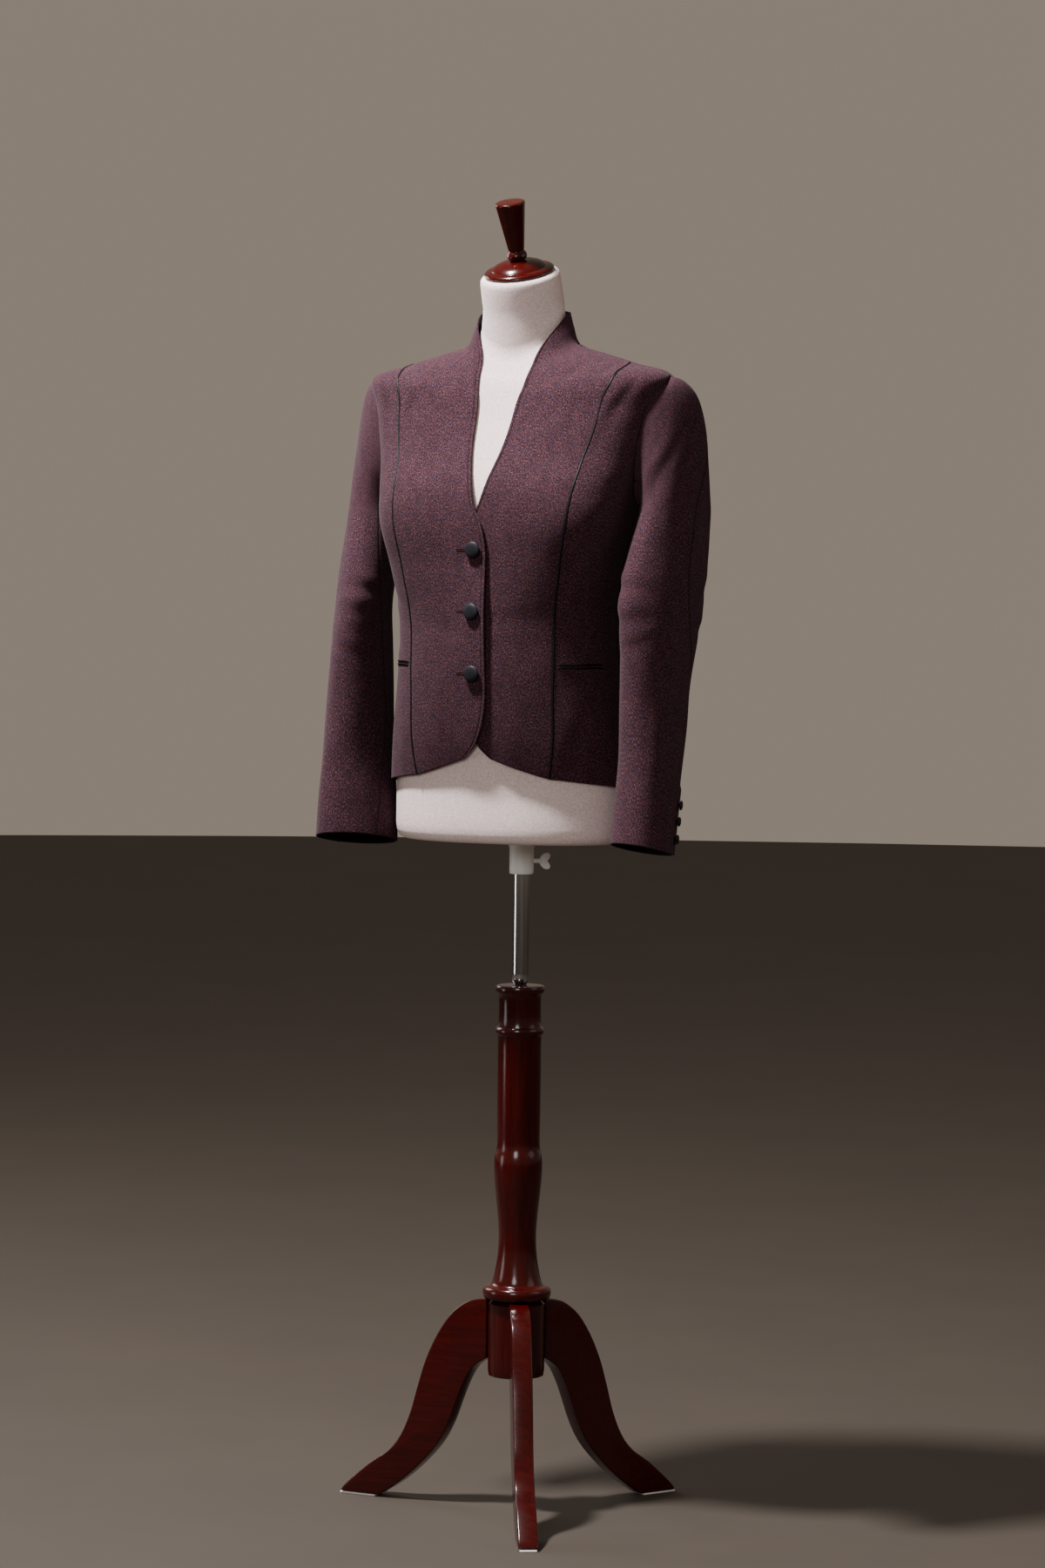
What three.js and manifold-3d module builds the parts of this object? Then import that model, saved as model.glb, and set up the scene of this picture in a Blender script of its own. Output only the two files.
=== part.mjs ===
// A tailored blazer on a limbless dress form, which stands on a turned tripod stand.
// Millimetres, +Z up, the garment faces -Y, the floor is z = 0 and the wearer's left is +X.
import * as THREE from "three";
import Module from "manifold-3d";
import { mergeVertices } from "three/addons/utils/BufferGeometryUtils.js";

// ---- driving sizes -------------------------------------------------------------------------
const CLOTH = 1.8; // thickness of the flannel with its lining
const SEAM = 0.15; // half of the gap left at a seam
const PIPING = 3.2; // width of the satin piping
const FRONT_LIFT = 4.4; // how far the lapped right edge stands off
const UNDER_DROP = 1.7; // how far the left edge lies under it
const FORM_EASE = 0.45; // form to cloth at the shoulders
const BUTTON_R = 10.8, CUFF_BUTTON_R = 6.2;
const BUTTON_Z = [1238, 1160, 1082];
const CUFF_BUTTON_UP = [22, 41, 60]; // above the cuff's edge
const POLE_R = 11, POLE_TOP = 1115, BORE_TOP = 1340;
const SOCKET = { r: 15.8, low: 821, high: 864.6 };
const SCREW_Z = 838;
const PILLAR_TOP = 678;
const HUB = { r: 36.5, low: 174, high: 273.4 };
const LEG = { width: 25, angles: [29.2, 149.2, 269.2] }; // degrees from -Y towards +X
const PAD = { near: 198, far: 249, width: 22, thick: 2.4 };
const NECK = { lean: 19.5, y: -25, z: 1589.5 }; // neck axis: lean forwards, centre of the cap joint
const CENTRE = [-0.75, -1.6]; // middle of the whole, seen from above

// ---- the body's surface --------------------------------------------------------------------
// Levels from hem to collar top. f, s, b: heights at front, side and back. a: half width.
// cy: where the widest line lies. df, db: depth before and behind it. nf, nb: squareness.
const LEVELS = [
  // f    s     b      a     cy   df    db    nf   nb
  [944, 937, 935, 167, -12, 119, 117, 2.4, 2.2],
  [1000, 1000, 1000, 161, -19, 124, 115, 2.35, 2.2],
  [1075, 1075, 1078, 151, -33, 118, 112, 2.2, 2.1],
  [1150, 1150, 1158, 147, -38, 114, 108, 2.25, 2.1],
  [1215, 1215, 1228, 153, -34, 118, 116, 3.0, 2.2],
  [1275, 1272, 1298, 164, -28, 124, 124, 3.9, 2.3],
  [1320, 1310, 1352, 172, -22, 122, 120, 3.5, 2.4],
  [1362, 1360, 1396, 184, -18, 104, 112, 2.9, 2.4],
  [1396, 1420, 1432, 198, -15, 88, 98, 2.6, 2.4],
  [1424, 1462, 1458, 206.5, -14, 76, 84, 2.5, 2.3],
  [1440, 1479, 1476, 155, -13, 69, 74, 2.3, 2.2],
  [1454, 1492, 1492, 110, -13, 62, 66, 2.2, 2.1],
  [1466, 1503, 1508, 77, -13, 55, 60, 2.1, 2.0],
  [1486, 1525, 1532, 67, -12, 48, 54, 2.0, 2.0],
  [1503, 1547, 1554, 61, -10, 42, 48, 2.0, 2.0],
];
// Right front panel: its free edge and its princess seam, station by station from the hem.
// Angles are degrees from the centre front round to the wearer's own side, t is the level.
const FRONT = [
  // edge  t     seam   t
  [8, 0.61, 41, 0.22],
  [0.8, 0.84, 41.8, 0.5],
  [-3.2, 1.08, 42.7, 0.8],
  [-6.3, 1.36, 43.7, 1.15],
  [-8.4, 1.75, 45, 1.55],
  [-8.6, 2.4, 47.5, 2.2],
  [-8.5, 3.0, 48.7, 2.9],
  [-8.4, 3.7, 48, 3.6],
  [-8.0, 4.4, 47, 4.4],
  [-4.5, 4.95, 47, 5.2],
  [0.3, 5.35, 49, 6],
  [5, 6.15, 54, 6.75],
  [12, 7.25, 61.2, 7.7],
  [19, 8.85, 66.5, 8.72],
  [24, 9.9, 74.5, 9.6],
  [28, 10.8, 90, 10.1],
  [34, 11.8, 90, 11],
  [43, 12.6, 90, 12],
  [58, 13.15, 90, 12.9],
  [76, 13.5, 90, 13.8],
];
const SHOULDER = 15; // station where the princess seam meets the shoulder seam
const UNDERARM = 10; // station where the side seam meets the armhole
// Side seam, then the front of the armhole, at the same stations as the princess seam.
const SIDE = [
  // angle  t
  [90, 0], [90, 0.35], [90, 0.7], [90, 1.05], [90, 1.5], [90, 2.15], [90, 2.85], [90, 3.55],
  [90, 4.3], [90, 5], [90, 5.6], [82, 6], [77.5, 6.8], [77.5, 7.6], [81, 8.35], [90, 9],
];
// Back panel: side seam, back of the armhole and shoulder, and the centre back seam.
const BACK = [
  // side  t    centre  t
  [90, 0, 180, 0], [90, 0.35, 180, 0.35], [90, 0.7, 180, 0.7], [90, 1.05, 180, 1.05],
  [90, 1.5, 180, 1.5], [90, 2.15, 180, 2.15], [90, 2.85, 180, 2.85], [90, 3.55, 180, 3.55],
  [90, 4.3, 180, 4.3], [90, 5, 180, 5], [90, 5.6, 180, 5.6], [98, 6, 180, 6.2],
  [102.5, 6.8, 180, 7], [102.5, 7.6, 180, 7.8], [99, 8.35, 180, 8.6], [90, 9, 180, 9.4],
  [90, 10.1, 180, 10.3], [90, 11, 180, 11.2], [90, 12, 180, 12],
];
// Sleeve, from the underarm to the cuff: height and middle of each ring, half depth p,
// half width q, twist (front edge turned in), forward tilt and the hind arm seam's place
// round the sleeve from its outside, in degrees.
const SLEEVE = [
  // z    x     y    p   q   twist tilt seam
  [1285, 211, -4, 69, 34, 7, 0, 5],
  [1240, 211, -20.5, 71, 34.5, 13, 2, 0],
  [1200, 210.3, -35, 72, 35, 16, 3, -6],
  [1163, 209.8, -44, 72, 35, 15.5, 4, -13],
  [1120, 209, -48.5, 69, 36, 10, 6, -22],
  [1070, 207.5, -53.5, 64, 37, 4.5, 8, -34],
  [1021, 207, -57, 61, 38.5, 0, 9, -33],
  [960, 205.5, -62.5, 60, 39, -12, 9, -18],
  [910, 203, -69.5, 60, 39.5, -19, 8.5, -8],
  [863.5, 200.5, -75, 60, 39.5, -24, 8, -3],
];
const CUFF_DROP = 0.0067; // the cuff hangs lower outside, by this for each degree of turn
const HEAD_RINGS = 6; // rings of the sleeve head before the first of the table
const FOREARM_SEAM = [128, 182]; // degrees round the sleeve from its outside, at the armhole and low down
const SEAM_START = -60; // where the hind arm seam leaves the armhole
// The form's ease under the cloth at each level, in front and elsewhere.
const EASE = [
  [7, 5], [7, 6], [7, 8], [6.5, 8], [6, 6], [6, 5], [5.5, 4], [4, 3.5], [3.4, 3.4],
  [3.4, 3.4], [2.2, 2.2], [1.7, 1.7], [2.4, 2.4], [6, 6], [9, 9],
];
// Leg, seen from its side: distance from the pillar's axis and height.
const LEG_OUTLINE = [
  // r     z
  [36.9, 272], [55, 269], [70, 263], [90, 247], [109, 219.6], [125, 185.6], [137, 148], [147, 114],
  [161, 83.4], [179, 62], [204, 45], [226, 26.7], [242, 12], [248, 4], [245, 2.8], [193, 2.8],
  [163, 22], [133, 48], [107, 77], [91, 106], [80, 134.6], [69, 161], [56, 182], [36.9, 195],
];
// Turned profiles, radius and height.
const PILLAR = [
  [0, 273.8], [41, 273.8], [44, 277], [44, 286], [41, 290], [34, 291], [31.5, 296], [29, 306], [25.5, 326],
  [23.8, 352], [25.5, 380], [29, 410], [31.5, 440], [30.5, 458], [27.2, 468], [27.8, 500], [28, 560],
  [27.8, 612], [30, 614], [31.5, 618], [30.5, 623], [27.2, 625], [27, 662], [28.5, 666], [31.5, 669],
  [31.5, 675], [30, PILLAR_TOP], [0, PILLAR_TOP],
];
const CAP = [
  [0, 4.8], [43.5, 4.8], [45.5, 6.3], [45.5, 8.4], [43, 11], [37, 12], [35.5, 13.2], [30, 17.5], [20, 21],
  [12.8, 22], [0, 22],
];
const FINIAL = [
  [0, 0], [9.5, 0], [12.6, 3], [13.1, 6.4], [12, 10], [9.6, 12.4], [10.6, 15], [14.8, 44], [19, 73],
  [19.4, 75.4], [18, 77.2], [0, 77.6],
];

const rad = THREE.MathUtils.degToRad;
const V = (x, y, z) => new THREE.Vector3(x, y, z);

// A row of a table at a fractional place, smooth between rows; no curve runs past a corner row.
function rowAt(table, place, corner = -1) {
  const last = table.length - 1;
  const at = Math.min(Math.max(place, 0), last);
  const i = Math.min(Math.floor(at), last - 1);
  const f = at - i;
  const from = corner >= 0 && i >= corner ? corner : 0;
  const to = corner >= 0 && i < corner ? corner : last;
  const pick = (k) => table[Math.min(Math.max(k, from), to)];
  const [p, q, r, s] = [pick(i - 1), pick(i), pick(i + 1), pick(i + 2)];
  return q.map((c, n) => 0.5 * (2 * c + (r[n] - p[n]) * f + (2 * p[n] - 5 * c + 4 * r[n] - s[n]) * f * f
    + (3 * c - p[n] - 3 * r[n] + s[n]) * f * f * f));
}

// A point of the body at an angle (degrees from the centre front) and a level.
function bodyPoint(angle, level) {
  const [f, s, b, a, cy, df, db, nf, nb] = rowAt(LEVELS, level);
  const c = Math.cos(rad(angle)), w = Math.sin(rad(angle));
  const [depth, n, end] = c >= 0 ? [df, nf, f] : [db, nb, b];
  const reach = (Math.abs(w / a) ** n + Math.abs(c / depth) ** n) ** (-1 / n);
  return V(reach * w, cy - reach * c, s + (end - s) * Math.abs(c) ** 1.4);
}

// The same with its outward normal, moved out along it.
function bodySkin(angle, level, lift = 0) {
  const e = 0.02;
  const round = bodyPoint(angle + 10 * e, level).sub(bodyPoint(angle - 10 * e, level));
  const up = bodyPoint(angle, Math.min(level + e, 14)).sub(bodyPoint(angle, Math.max(level - e, 0)));
  const normal = round.cross(up).normalize();
  return { point: bodyPoint(angle, level).addScaledVector(normal, lift), normal };
}

// A cloth piece: a grid of outer points and normals becomes a closed wall.
function wallGeometry(grid, thick, inset) {
  const rows = grid.length, cols = grid[0].length;
  // Moves an edge point in along its row until it is the gap away from the seam line.
  const pull = (i, j, to, gap) => {
    const a = grid[i][j].point, row = grid[i][to].point.clone().sub(a);
    const line = grid[Math.min(i + 1, rows - 1)][j].point.clone().sub(grid[Math.max(i - 1, 0)][j].point);
    const slant = Math.sin(row.angleTo(line));
    return a.clone().addScaledVector(row.normalize(), gap / Math.max(slant, 0.3));
  };
  const outer = grid.map((row) => row.map((c) => c.point.clone()));
  for (let i = 0; i < rows; i++) {
    outer[i][0] = pull(i, 0, 1, inset.left);
    outer[i][cols - 1] = pull(i, cols - 1, cols - 2, inset.right);
  }
  for (let j = 0; j < cols; j++) {
    const low = grid[1][j].point.clone().sub(grid[0][j].point).normalize();
    const high = grid[rows - 2][j].point.clone().sub(grid[rows - 1][j].point).normalize();
    outer[0][j].addScaledVector(low, inset.low);
    outer[rows - 1][j].addScaledVector(high, inset.high);
  }
  const verts = [];
  outer.forEach((row) => row.forEach((p) => verts.push(p.x, p.y, p.z)));
  outer.forEach((row, i) => row.forEach((p, j) => {
    const q = p.clone().addScaledVector(grid[i][j].normal, -thick);
    verts.push(q.x, q.y, q.z);
  }));
  const at = (i, j, side) => side * rows * cols + i * cols + j;
  const faces = [];
  const quad = (a, b, c, d) => faces.push(a, b, c, a, c, d);
  for (let i = 0; i < rows - 1; i++) {
    for (let j = 0; j < cols - 1; j++) {
      quad(at(i, j, 0), at(i, j + 1, 0), at(i + 1, j + 1, 0), at(i + 1, j, 0));
      quad(at(i, j, 1), at(i + 1, j, 1), at(i + 1, j + 1, 1), at(i, j + 1, 1));
    }
    quad(at(i, 0, 0), at(i + 1, 0, 0), at(i + 1, 0, 1), at(i, 0, 1));
    quad(at(i, cols - 1, 0), at(i, cols - 1, 1), at(i + 1, cols - 1, 1), at(i + 1, cols - 1, 0));
  }
  for (let j = 0; j < cols - 1; j++) {
    quad(at(0, j, 0), at(0, j, 1), at(0, j + 1, 1), at(0, j + 1, 0));
    quad(at(rows - 1, j, 0), at(rows - 1, j + 1, 0), at(rows - 1, j + 1, 1), at(rows - 1, j, 1));
  }
  const a = grid[0][0], across = grid[0][1].point.clone().sub(a.point);
  const facing = across.cross(grid[1][0].point.clone().sub(a.point)).dot(a.normal);
  return solid(verts, facing > 0 ? faces : faces.reverse());
}

function solid(verts, faces) {
  const g = new THREE.BufferGeometry();
  g.setAttribute("position", new THREE.Float32BufferAttribute(verts, 3));
  g.setIndex(faces);
  g.computeVertexNormals();
  return g;
}

// ---- materials and the scene ---------------------------------------------------------------
const material = (name, color, roughness, metalness = 0) =>
  Object.assign(new THREE.MeshStandardMaterial({ color, roughness, metalness }), { name });
const FLANNEL = () => material("plum flannel", 0x61424b, 0.92);
const SATIN = () => material("black satin", 0x16131a, 0.45);
const COVERED = () => material("black covered button", 0x17151b, 0.5);
const JERSEY = () => material("form jersey", 0xdad6ce, 0.9);
const MAHOGANY = () => material("mahogany", 0x35120f, 0.22);
const CHROME = () => material("chrome", 0xcfd2d6, 0.12, 1);
const MILKY = () => material("milky plastic", 0xe6e4df, 0.4);

const blazer = new THREE.Group();
blazer.position.set(-CENTRE[0], -CENTRE[1], 0);
const put = (name, geometry, mat, parent = blazer) => {
  const mesh = new THREE.Mesh(geometry, mat);
  mesh.name = name;
  parent.add(mesh);
  return mesh;
};

// ---- body panels ---------------------------------------------------------------------------
const steps = (n, per) => Array.from({ length: n * per + 1 }, (_, i) => i / per);
const smooth = (x) => { const t = Math.min(Math.max(x, 0), 1); return t * t * (3 - 2 * t); };

// Lapping edges: the right front stands off towards its edge, the left front sinks under it.
const fade = (level) => 1 - smooth((level - 5.5) / 1.2);
const lapLift = (side, x, level) => side < 0
  ? FRONT_LIFT * smooth((x + 40) / 58) * fade(level) * (0.75 + 0.25 * Math.sin(level * 2.6))
  : -UNDER_DROP * smooth((52 - x) / 34) * fade(level);

for (const side of [-1, 1]) {
  const hand = side < 0 ? "right" : "left";
  const frontRows = steps(FRONT.length - 1, 2).map((k) => {
    const edge = rowAt(FRONT, k), seam = rowAt(FRONT, k, SHOULDER);
    return Array.from({ length: 7 }, (_, j) => {
      const u = j / 6;
      const angle = side * (edge[0] + (seam[2] - edge[0]) * u);
      const level = edge[1] + (seam[3] - edge[1]) * u;
      const x = bodyPoint(angle, level).x;
      return bodySkin(angle, level, lapLift(side, x, level));
    });
  });
  put(`${hand}_front`, wallGeometry(frontRows, CLOTH,
    { left: 0, right: PIPING / 2 + 0.6, low: 0, high: 0 }), FLANNEL());

  const sideRows = steps(SHOULDER, 2).map((k) => {
    const seam = rowAt(FRONT, k, SHOULDER), rim = rowAt(SIDE, k, UNDERARM);
    return Array.from({ length: 6 }, (_, j) => {
      const u = j / 5;
      return bodySkin(side * (seam[2] + (rim[0] - seam[2]) * u), seam[3] + (rim[1] - seam[3]) * u);
    });
  });
  put(`${hand}_side_front`, wallGeometry(sideRows, CLOTH,
    { left: PIPING / 2 + 0.6, right: SEAM, low: 0, high: SEAM }), FLANNEL());

  const backRows = steps(BACK.length - 1, 2).map((k) => {
    const rim = rowAt(BACK, k, k < SHOULDER ? UNDERARM : SHOULDER), centre = rowAt(BACK, k);
    return Array.from({ length: 10 }, (_, j) => {
      const u = j / 9;
      return bodySkin(side * (rim[0] + (180 - rim[0]) * u), rim[1] + (centre[3] - rim[1]) * u);
    });
  });
  put(`${hand}_back`, wallGeometry(backRows, CLOTH,
    { left: SEAM, right: SEAM, low: 0, high: SEAM }), FLANNEL());

  // Satin piping in the princess seam, proud of the cloth.
  const pipeRows = steps(SHOULDER, 2).map((k) => {
    const seam = rowAt(FRONT, k, SHOULDER);
    const mid = bodySkin(side * seam[2], seam[3], 0.6);
    const along = bodySkin(side * rowAt(FRONT, k + 0.05, SHOULDER)[2], rowAt(FRONT, k + 0.05, SHOULDER)[3], 0.6)
      .point.sub(bodySkin(side * rowAt(FRONT, k - 0.05, SHOULDER)[2], rowAt(FRONT, k - 0.05, SHOULDER)[3], 0.6)
        .point).normalize();
    const over = along.cross(mid.normal).normalize();
    return [-1, 0, 1].map((n) => ({
      point: mid.point.clone().addScaledVector(over, n * PIPING / 2).addScaledVector(mid.normal, n ? -0.5 : 0),
      normal: mid.normal,
    }));
  });
  put(`${hand}_piping`, wallGeometry(pipeRows, 1.6, { left: 0, right: 0, low: 0, high: 2.4 }), SATIN());

  // Pocket welt: a narrow strip lying on the side front from the princess seam.
  const weltRows = [0, 1].map((i) => steps(6, 1).map((k) =>
    bodySkin(side * (49.6 + k * 4.4), 2.19 + i * 0.085, 1.45)));
  put(`${hand}_pocket_welt`, wallGeometry(weltRows, 1, { left: 0, right: 0, low: 0, high: 0 }), SATIN());
}

const collarRows = steps(4, 1).map((i) => Array.from({ length: 15 }, (_, j) =>
  bodySkin(90 + j * 180 / 14, 12 + i * 0.45)));
put("back_collar", wallGeometry(collarRows, CLOTH, { left: SEAM, right: SEAM, low: 0.3, high: 0 }), FLANNEL());

// ---- sleeves -------------------------------------------------------------------------------
// A point of the sleeve: around it in degrees from its outside (90 = front, 180 = body side),
// down it from the armhole ring (0) over the head to the cuff.
function armholePoint(around) {
  const up = 180 - Math.abs(180 - around); // 0 at the shoulder point, 180 at the underarm
  const [angle, level] = rowAt(SIDE.slice(UNDERARM), 5 * (1 - up / 180));
  return bodyPoint(around <= 180 ? angle : 180 - angle, level);
}
const HOLE = V(186, -12, 1378); // middle of the armhole
function tubePoint(around, place) {
  const [z, x, y, p, q, twist, tilt] = rowAt(SLEEVE, place);
  const c = q * Math.cos(rad(around)), s = -p * Math.sin(rad(around));
  const turn = rad(twist);
  return V(x + c * Math.cos(turn) + s * Math.sin(turn), y - c * Math.sin(turn) + s * Math.cos(turn),
    z - Math.tan(rad(tilt)) * s * Math.cos(turn) - CUFF_DROP * Math.max(-twist, 0) * c);
}
function sleevePoint(around, down) {
  const turn = ((around % 360) + 360) % 360;
  if (down >= HEAD_RINGS) return tubePoint(turn, down - HEAD_RINGS);
  const f = down / HEAD_RINGS;
  const hole = armholePoint(turn);
  hole.lerp(HOLE, (turn > 180 ? 3.8 : 1.9) / hole.distanceTo(HOLE)).x -= 1.2;
  const end = tubePoint(turn, 0);
  const reach = hole.distanceTo(end);
  const rise = Math.max(Math.cos(rad(turn)), 0);
  const full = Math.exp(-(((((turn + 195) % 360) - 180) / 29) ** 2)); // the head is fuller behind its top
  const out = V(1, 0.45 * full, 0.6 * full - 0.2 * rise).setLength(Math.min(0.5 * reach, 16 + 7 * rise + 30 * full));
  const back = end.clone().sub(tubePoint(turn, 0.02)).setLength((0.36 + 0.08 * full) * reach);
  const a = hole.clone().add(out), b = end.clone().add(back);
  const g = 1 - f;
  return hole.multiplyScalar(g * g * g).addScaledVector(a, 3 * g * g * f)
    .addScaledVector(b, 3 * g * f * f).addScaledVector(end, f * f * f);
}
function sleeveSkin(around, down, side, lift = 0) {
  const e = 0.05, last = HEAD_RINGS + SLEEVE.length - 1;
  const round = sleevePoint(around + 20 * e, down).sub(sleevePoint(around - 20 * e, down));
  const along = sleevePoint(around, Math.min(down + e, last)).sub(sleevePoint(around, Math.max(down - e, 0)));
  const normal = round.cross(along).normalize();
  if (normal.dot(sleevePoint(around, down).sub(sleevePoint(around + 180, down))) < 0 && down > 3) normal.negate();
  const point = sleevePoint(around, down).addScaledVector(normal, lift);
  point.x *= side;
  normal.x *= side;
  return { point, normal };
}
const CUFF = HEAD_RINGS + SLEEVE.length - 1;
const hindSeam = (down) => down < HEAD_RINGS
  ? SEAM_START + (SLEEVE[0][7] - SEAM_START) * smooth(down / HEAD_RINGS)
  : rowAt(SLEEVE, down - HEAD_RINGS)[7];
const foreSeam = (down) => FOREARM_SEAM[0] + (FOREARM_SEAM[1] - FOREARM_SEAM[0]) * smooth((down - HEAD_RINGS) / 7);
for (const side of [-1, 1]) {
  const hand = side < 0 ? "right" : "left";
  const rings = steps(CUFF, 1).flatMap((k) => (k < 5 ? [k, k + 0.5] : [k]));
  const strip = (from, to, n) => rings.map((k) => Array.from({ length: n + 1 }, (_, j) =>
    sleeveSkin(from(k) + (to(k) - from(k)) * j / n, k, side)));
  const edges = { left: SEAM, right: SEAM, low: 0, high: 0 };
  put(`${hand}_top_sleeve`, wallGeometry(strip(hindSeam, foreSeam, 10), CLOTH, edges), FLANNEL());
  put(`${hand}_under_sleeve`, wallGeometry(strip(foreSeam, (k) => hindSeam(k) + 360, 11), CLOTH, edges),
    FLANNEL());
}

// ---- buttons -------------------------------------------------------------------------------
function domed(radius, thick) {
  const profile = [[0, 0], [radius * 0.7, 0], [radius, thick * 0.3], [radius * 0.93, thick * 0.62],
    [radius * 0.6, thick * 0.92], [0, thick]];
  return new THREE.LatheGeometry(profile.map(([r, h]) => new THREE.Vector2(r, h)), 14);
}
function seatButton(name, radius, thick, skin) {
  const mesh = put(name, domed(radius, thick), COVERED());
  mesh.quaternion.setFromUnitVectors(V(0, 1, 0), skin.normal);
  mesh.position.copy(skin.point).addScaledVector(skin.normal, 0.4);
}
const levelAt = (z) => {
  let t = 0;
  while (rowAt(LEVELS, t)[0] < z) t += 0.002;
  return t;
};
BUTTON_Z.forEach((z, i) => {
  const level = levelAt(z);
  const edge = bodySkin(8, level, lapLift(-1, 17, level)).point;
  const inner = bodySkin(-8, level, lapLift(-1, -17, level)).point;
  const skin = bodySkin(0, level, lapLift(-1, 0, level));
  const lean = V(edge.x - inner.x, edge.y - inner.y, 0).normalize();
  skin.normal = V(lean.y, -lean.x, skin.normal.z).normalize(); // square to the lapped front
  skin.point.addScaledVector(skin.normal, 0.3);
  seatButton(`front_button_${i + 1}`, BUTTON_R, 5.4, skin);
});
for (const side of [-1, 1]) {
  CUFF_BUTTON_UP.forEach((up, i) => {
    const down = CUFF - up / 46;
    const skin = sleeveSkin(hindSeam(down) + 10, down, side, 0.2);
    seatButton(`${side < 0 ? "right" : "left"}_cuff_button_${i + 1}`, CUFF_BUTTON_R, 4, skin);
  });
}

// ---- dress form ----------------------------------------------------------------------------
const wasm = await Module();
wasm.setup();
function toManifold(geometry) {
  const bare = geometry.clone();
  bare.deleteAttribute("normal");
  bare.deleteAttribute("uv");
  const g = mergeVertices(bare, 1e-4);
  return new wasm.Manifold(new wasm.Mesh({
    numProp: 3,
    vertProperties: new Float32Array(g.attributes.position.array),
    triVerts: new Uint32Array(g.index.array),
  }));
}
function fromManifold(m) {
  const mesh = m.getMesh();
  return solid(Array.from(mesh.vertProperties), Array.from(mesh.triVerts));
}
const turned = (profile, n) => new THREE.LatheGeometry(profile.map(([r, z]) => new THREE.Vector2(r, z)), n)
  .rotateX(Math.PI / 2);

const AROUND = 32;
const formRings = [];
for (const [scale, z] of [[0.86, 865], [0.95, 867], [0.99, 873], [1, 884], [1, 912]]) {
  formRings.push(Array.from({ length: AROUND }, (_, j) => {
    const p = bodySkin(j * 360 / AROUND, 0, -CLOTH - 5).point;
    return V(p.x * scale, -12 + (p.y + 12) * scale, z);
  }));
}
for (const t of [0.4, 1, 2, 3, 4, 5, 5.5, 6, 6.5, 7, 7.5, 8, 8.5, 8.85, 9, 9.25, 10, 11, 12, 12.6, 13.2]) {
  const [front, rest] = rowAt(EASE, t);
  formRings.push(Array.from({ length: AROUND }, (_, j) => {
    const c = Math.max(Math.cos(rad(j * 360 / AROUND)), 0);
    return bodySkin(j * 360 / AROUND, t, -CLOTH - rest - (front - rest) * c * c).point;
  }));
}
const lean = rad(NECK.lean);
for (const [back, radius] of [[36, 52.5], [12, 52.2], [1, 51.5], [-3, 49.5], [-4.5, 46]]) {
  formRings.push(Array.from({ length: AROUND }, (_, j) => {
    const a = rad(j * 360 / AROUND);
    const c = -radius * Math.cos(a);
    return V(radius * Math.sin(a), NECK.y + c * Math.cos(lean) + back * Math.sin(lean),
      NECK.z + c * Math.sin(lean) - back * Math.cos(lean));
  }));
}
const bore = 24, boreR = POLE_R + 0.35;
const ringVerts = [], ringFaces = [];
formRings.forEach((ring) => ring.forEach((p) => ringVerts.push(p.x, p.y, p.z)));
for (let i = 0; i < formRings.length - 1; i++) {
  for (let j = 0; j < AROUND; j++) {
    const k = (j + 1) % AROUND, a = i * AROUND, b = a + AROUND;
    ringFaces.push(a + j, a + k, b + k, a + j, b + k, b + j);
  }
}
const top = (formRings.length - 1) * AROUND, foot = formRings.length * AROUND;
ringVerts.push(0, -12, 865, 0, NECK.y - 4.5 * Math.sin(lean), NECK.z + 4.5 * Math.cos(lean));
for (let j = 0; j < AROUND; j++) {
  const k = (j + 1) % AROUND;
  ringFaces.push(foot, k, j, foot + 1, top + j, top + k);
}
const hollow = new THREE.CylinderGeometry(boreR, boreR, BORE_TOP - 860, bore).rotateX(Math.PI / 2)
  .translate(0, 0, (BORE_TOP + 860) / 2);
const torso = toManifold(solid(ringVerts, ringFaces)).subtract(toManifold(hollow));
put("torso", fromManifold(torso), JERSEY());

const neckTop = new THREE.Group();
neckTop.position.set(0, NECK.y, NECK.z);
neckTop.rotation.x = lean;
blazer.add(neckTop);
put("neck_cap", turned(CAP, 24), MAHOGANY(), neckTop).position.z = 0.3;
put("finial", turned(FINIAL, 18), MAHOGANY(), neckTop).position.z = 22.6;

// ---- stand ---------------------------------------------------------------------------------
const sleeveRing = [[boreR, SOCKET.low], [SOCKET.r - 1, SOCKET.low], [SOCKET.r, SOCKET.low + 1.5],
  [SOCKET.r, SOCKET.high - 7], [SOCKET.r + 3.5, SOCKET.high - 5], [SOCKET.r + 3.5, SOCKET.high],
  [boreR, SOCKET.high], [boreR, SOCKET.low]];
const viewSide = rad(25); // the screw points to the wearer's left and a little back
const screwHole = new THREE.CylinderGeometry(3.3, 3.3, 20, 16).rotateZ(Math.PI / 2)
  .translate(18, 0, 0).rotateZ(viewSide).translate(0, 0, SCREW_Z);
put("socket", fromManifold(toManifold(turned(sleeveRing, 28)).subtract(toManifold(screwHole))), MILKY());
const screwBody = new THREE.CylinderGeometry(3, 3, 15, 16).rotateZ(Math.PI / 2).translate(19, 0, 0);
const wing = new THREE.ExtrudeGeometry(new THREE.Shape([[23, -3], [27, -9], [33, -11], [37, -8], [36, -3], [33, 0],
  [36, 3], [37, 8], [33, 11], [27, 9], [23, 3]].map(([x, y]) => new THREE.Vector2(x, y))),
{ depth: 3.6, bevelEnabled: false }).translate(0, 0, -1.8).rotateX(Math.PI / 2);
const screw = toManifold(screwBody).add(toManifold(wing));
const screwMesh = put("thumb_screw", fromManifold(screw), MILKY());
screwMesh.rotation.z = viewSide;
screwMesh.position.z = SCREW_Z;

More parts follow.
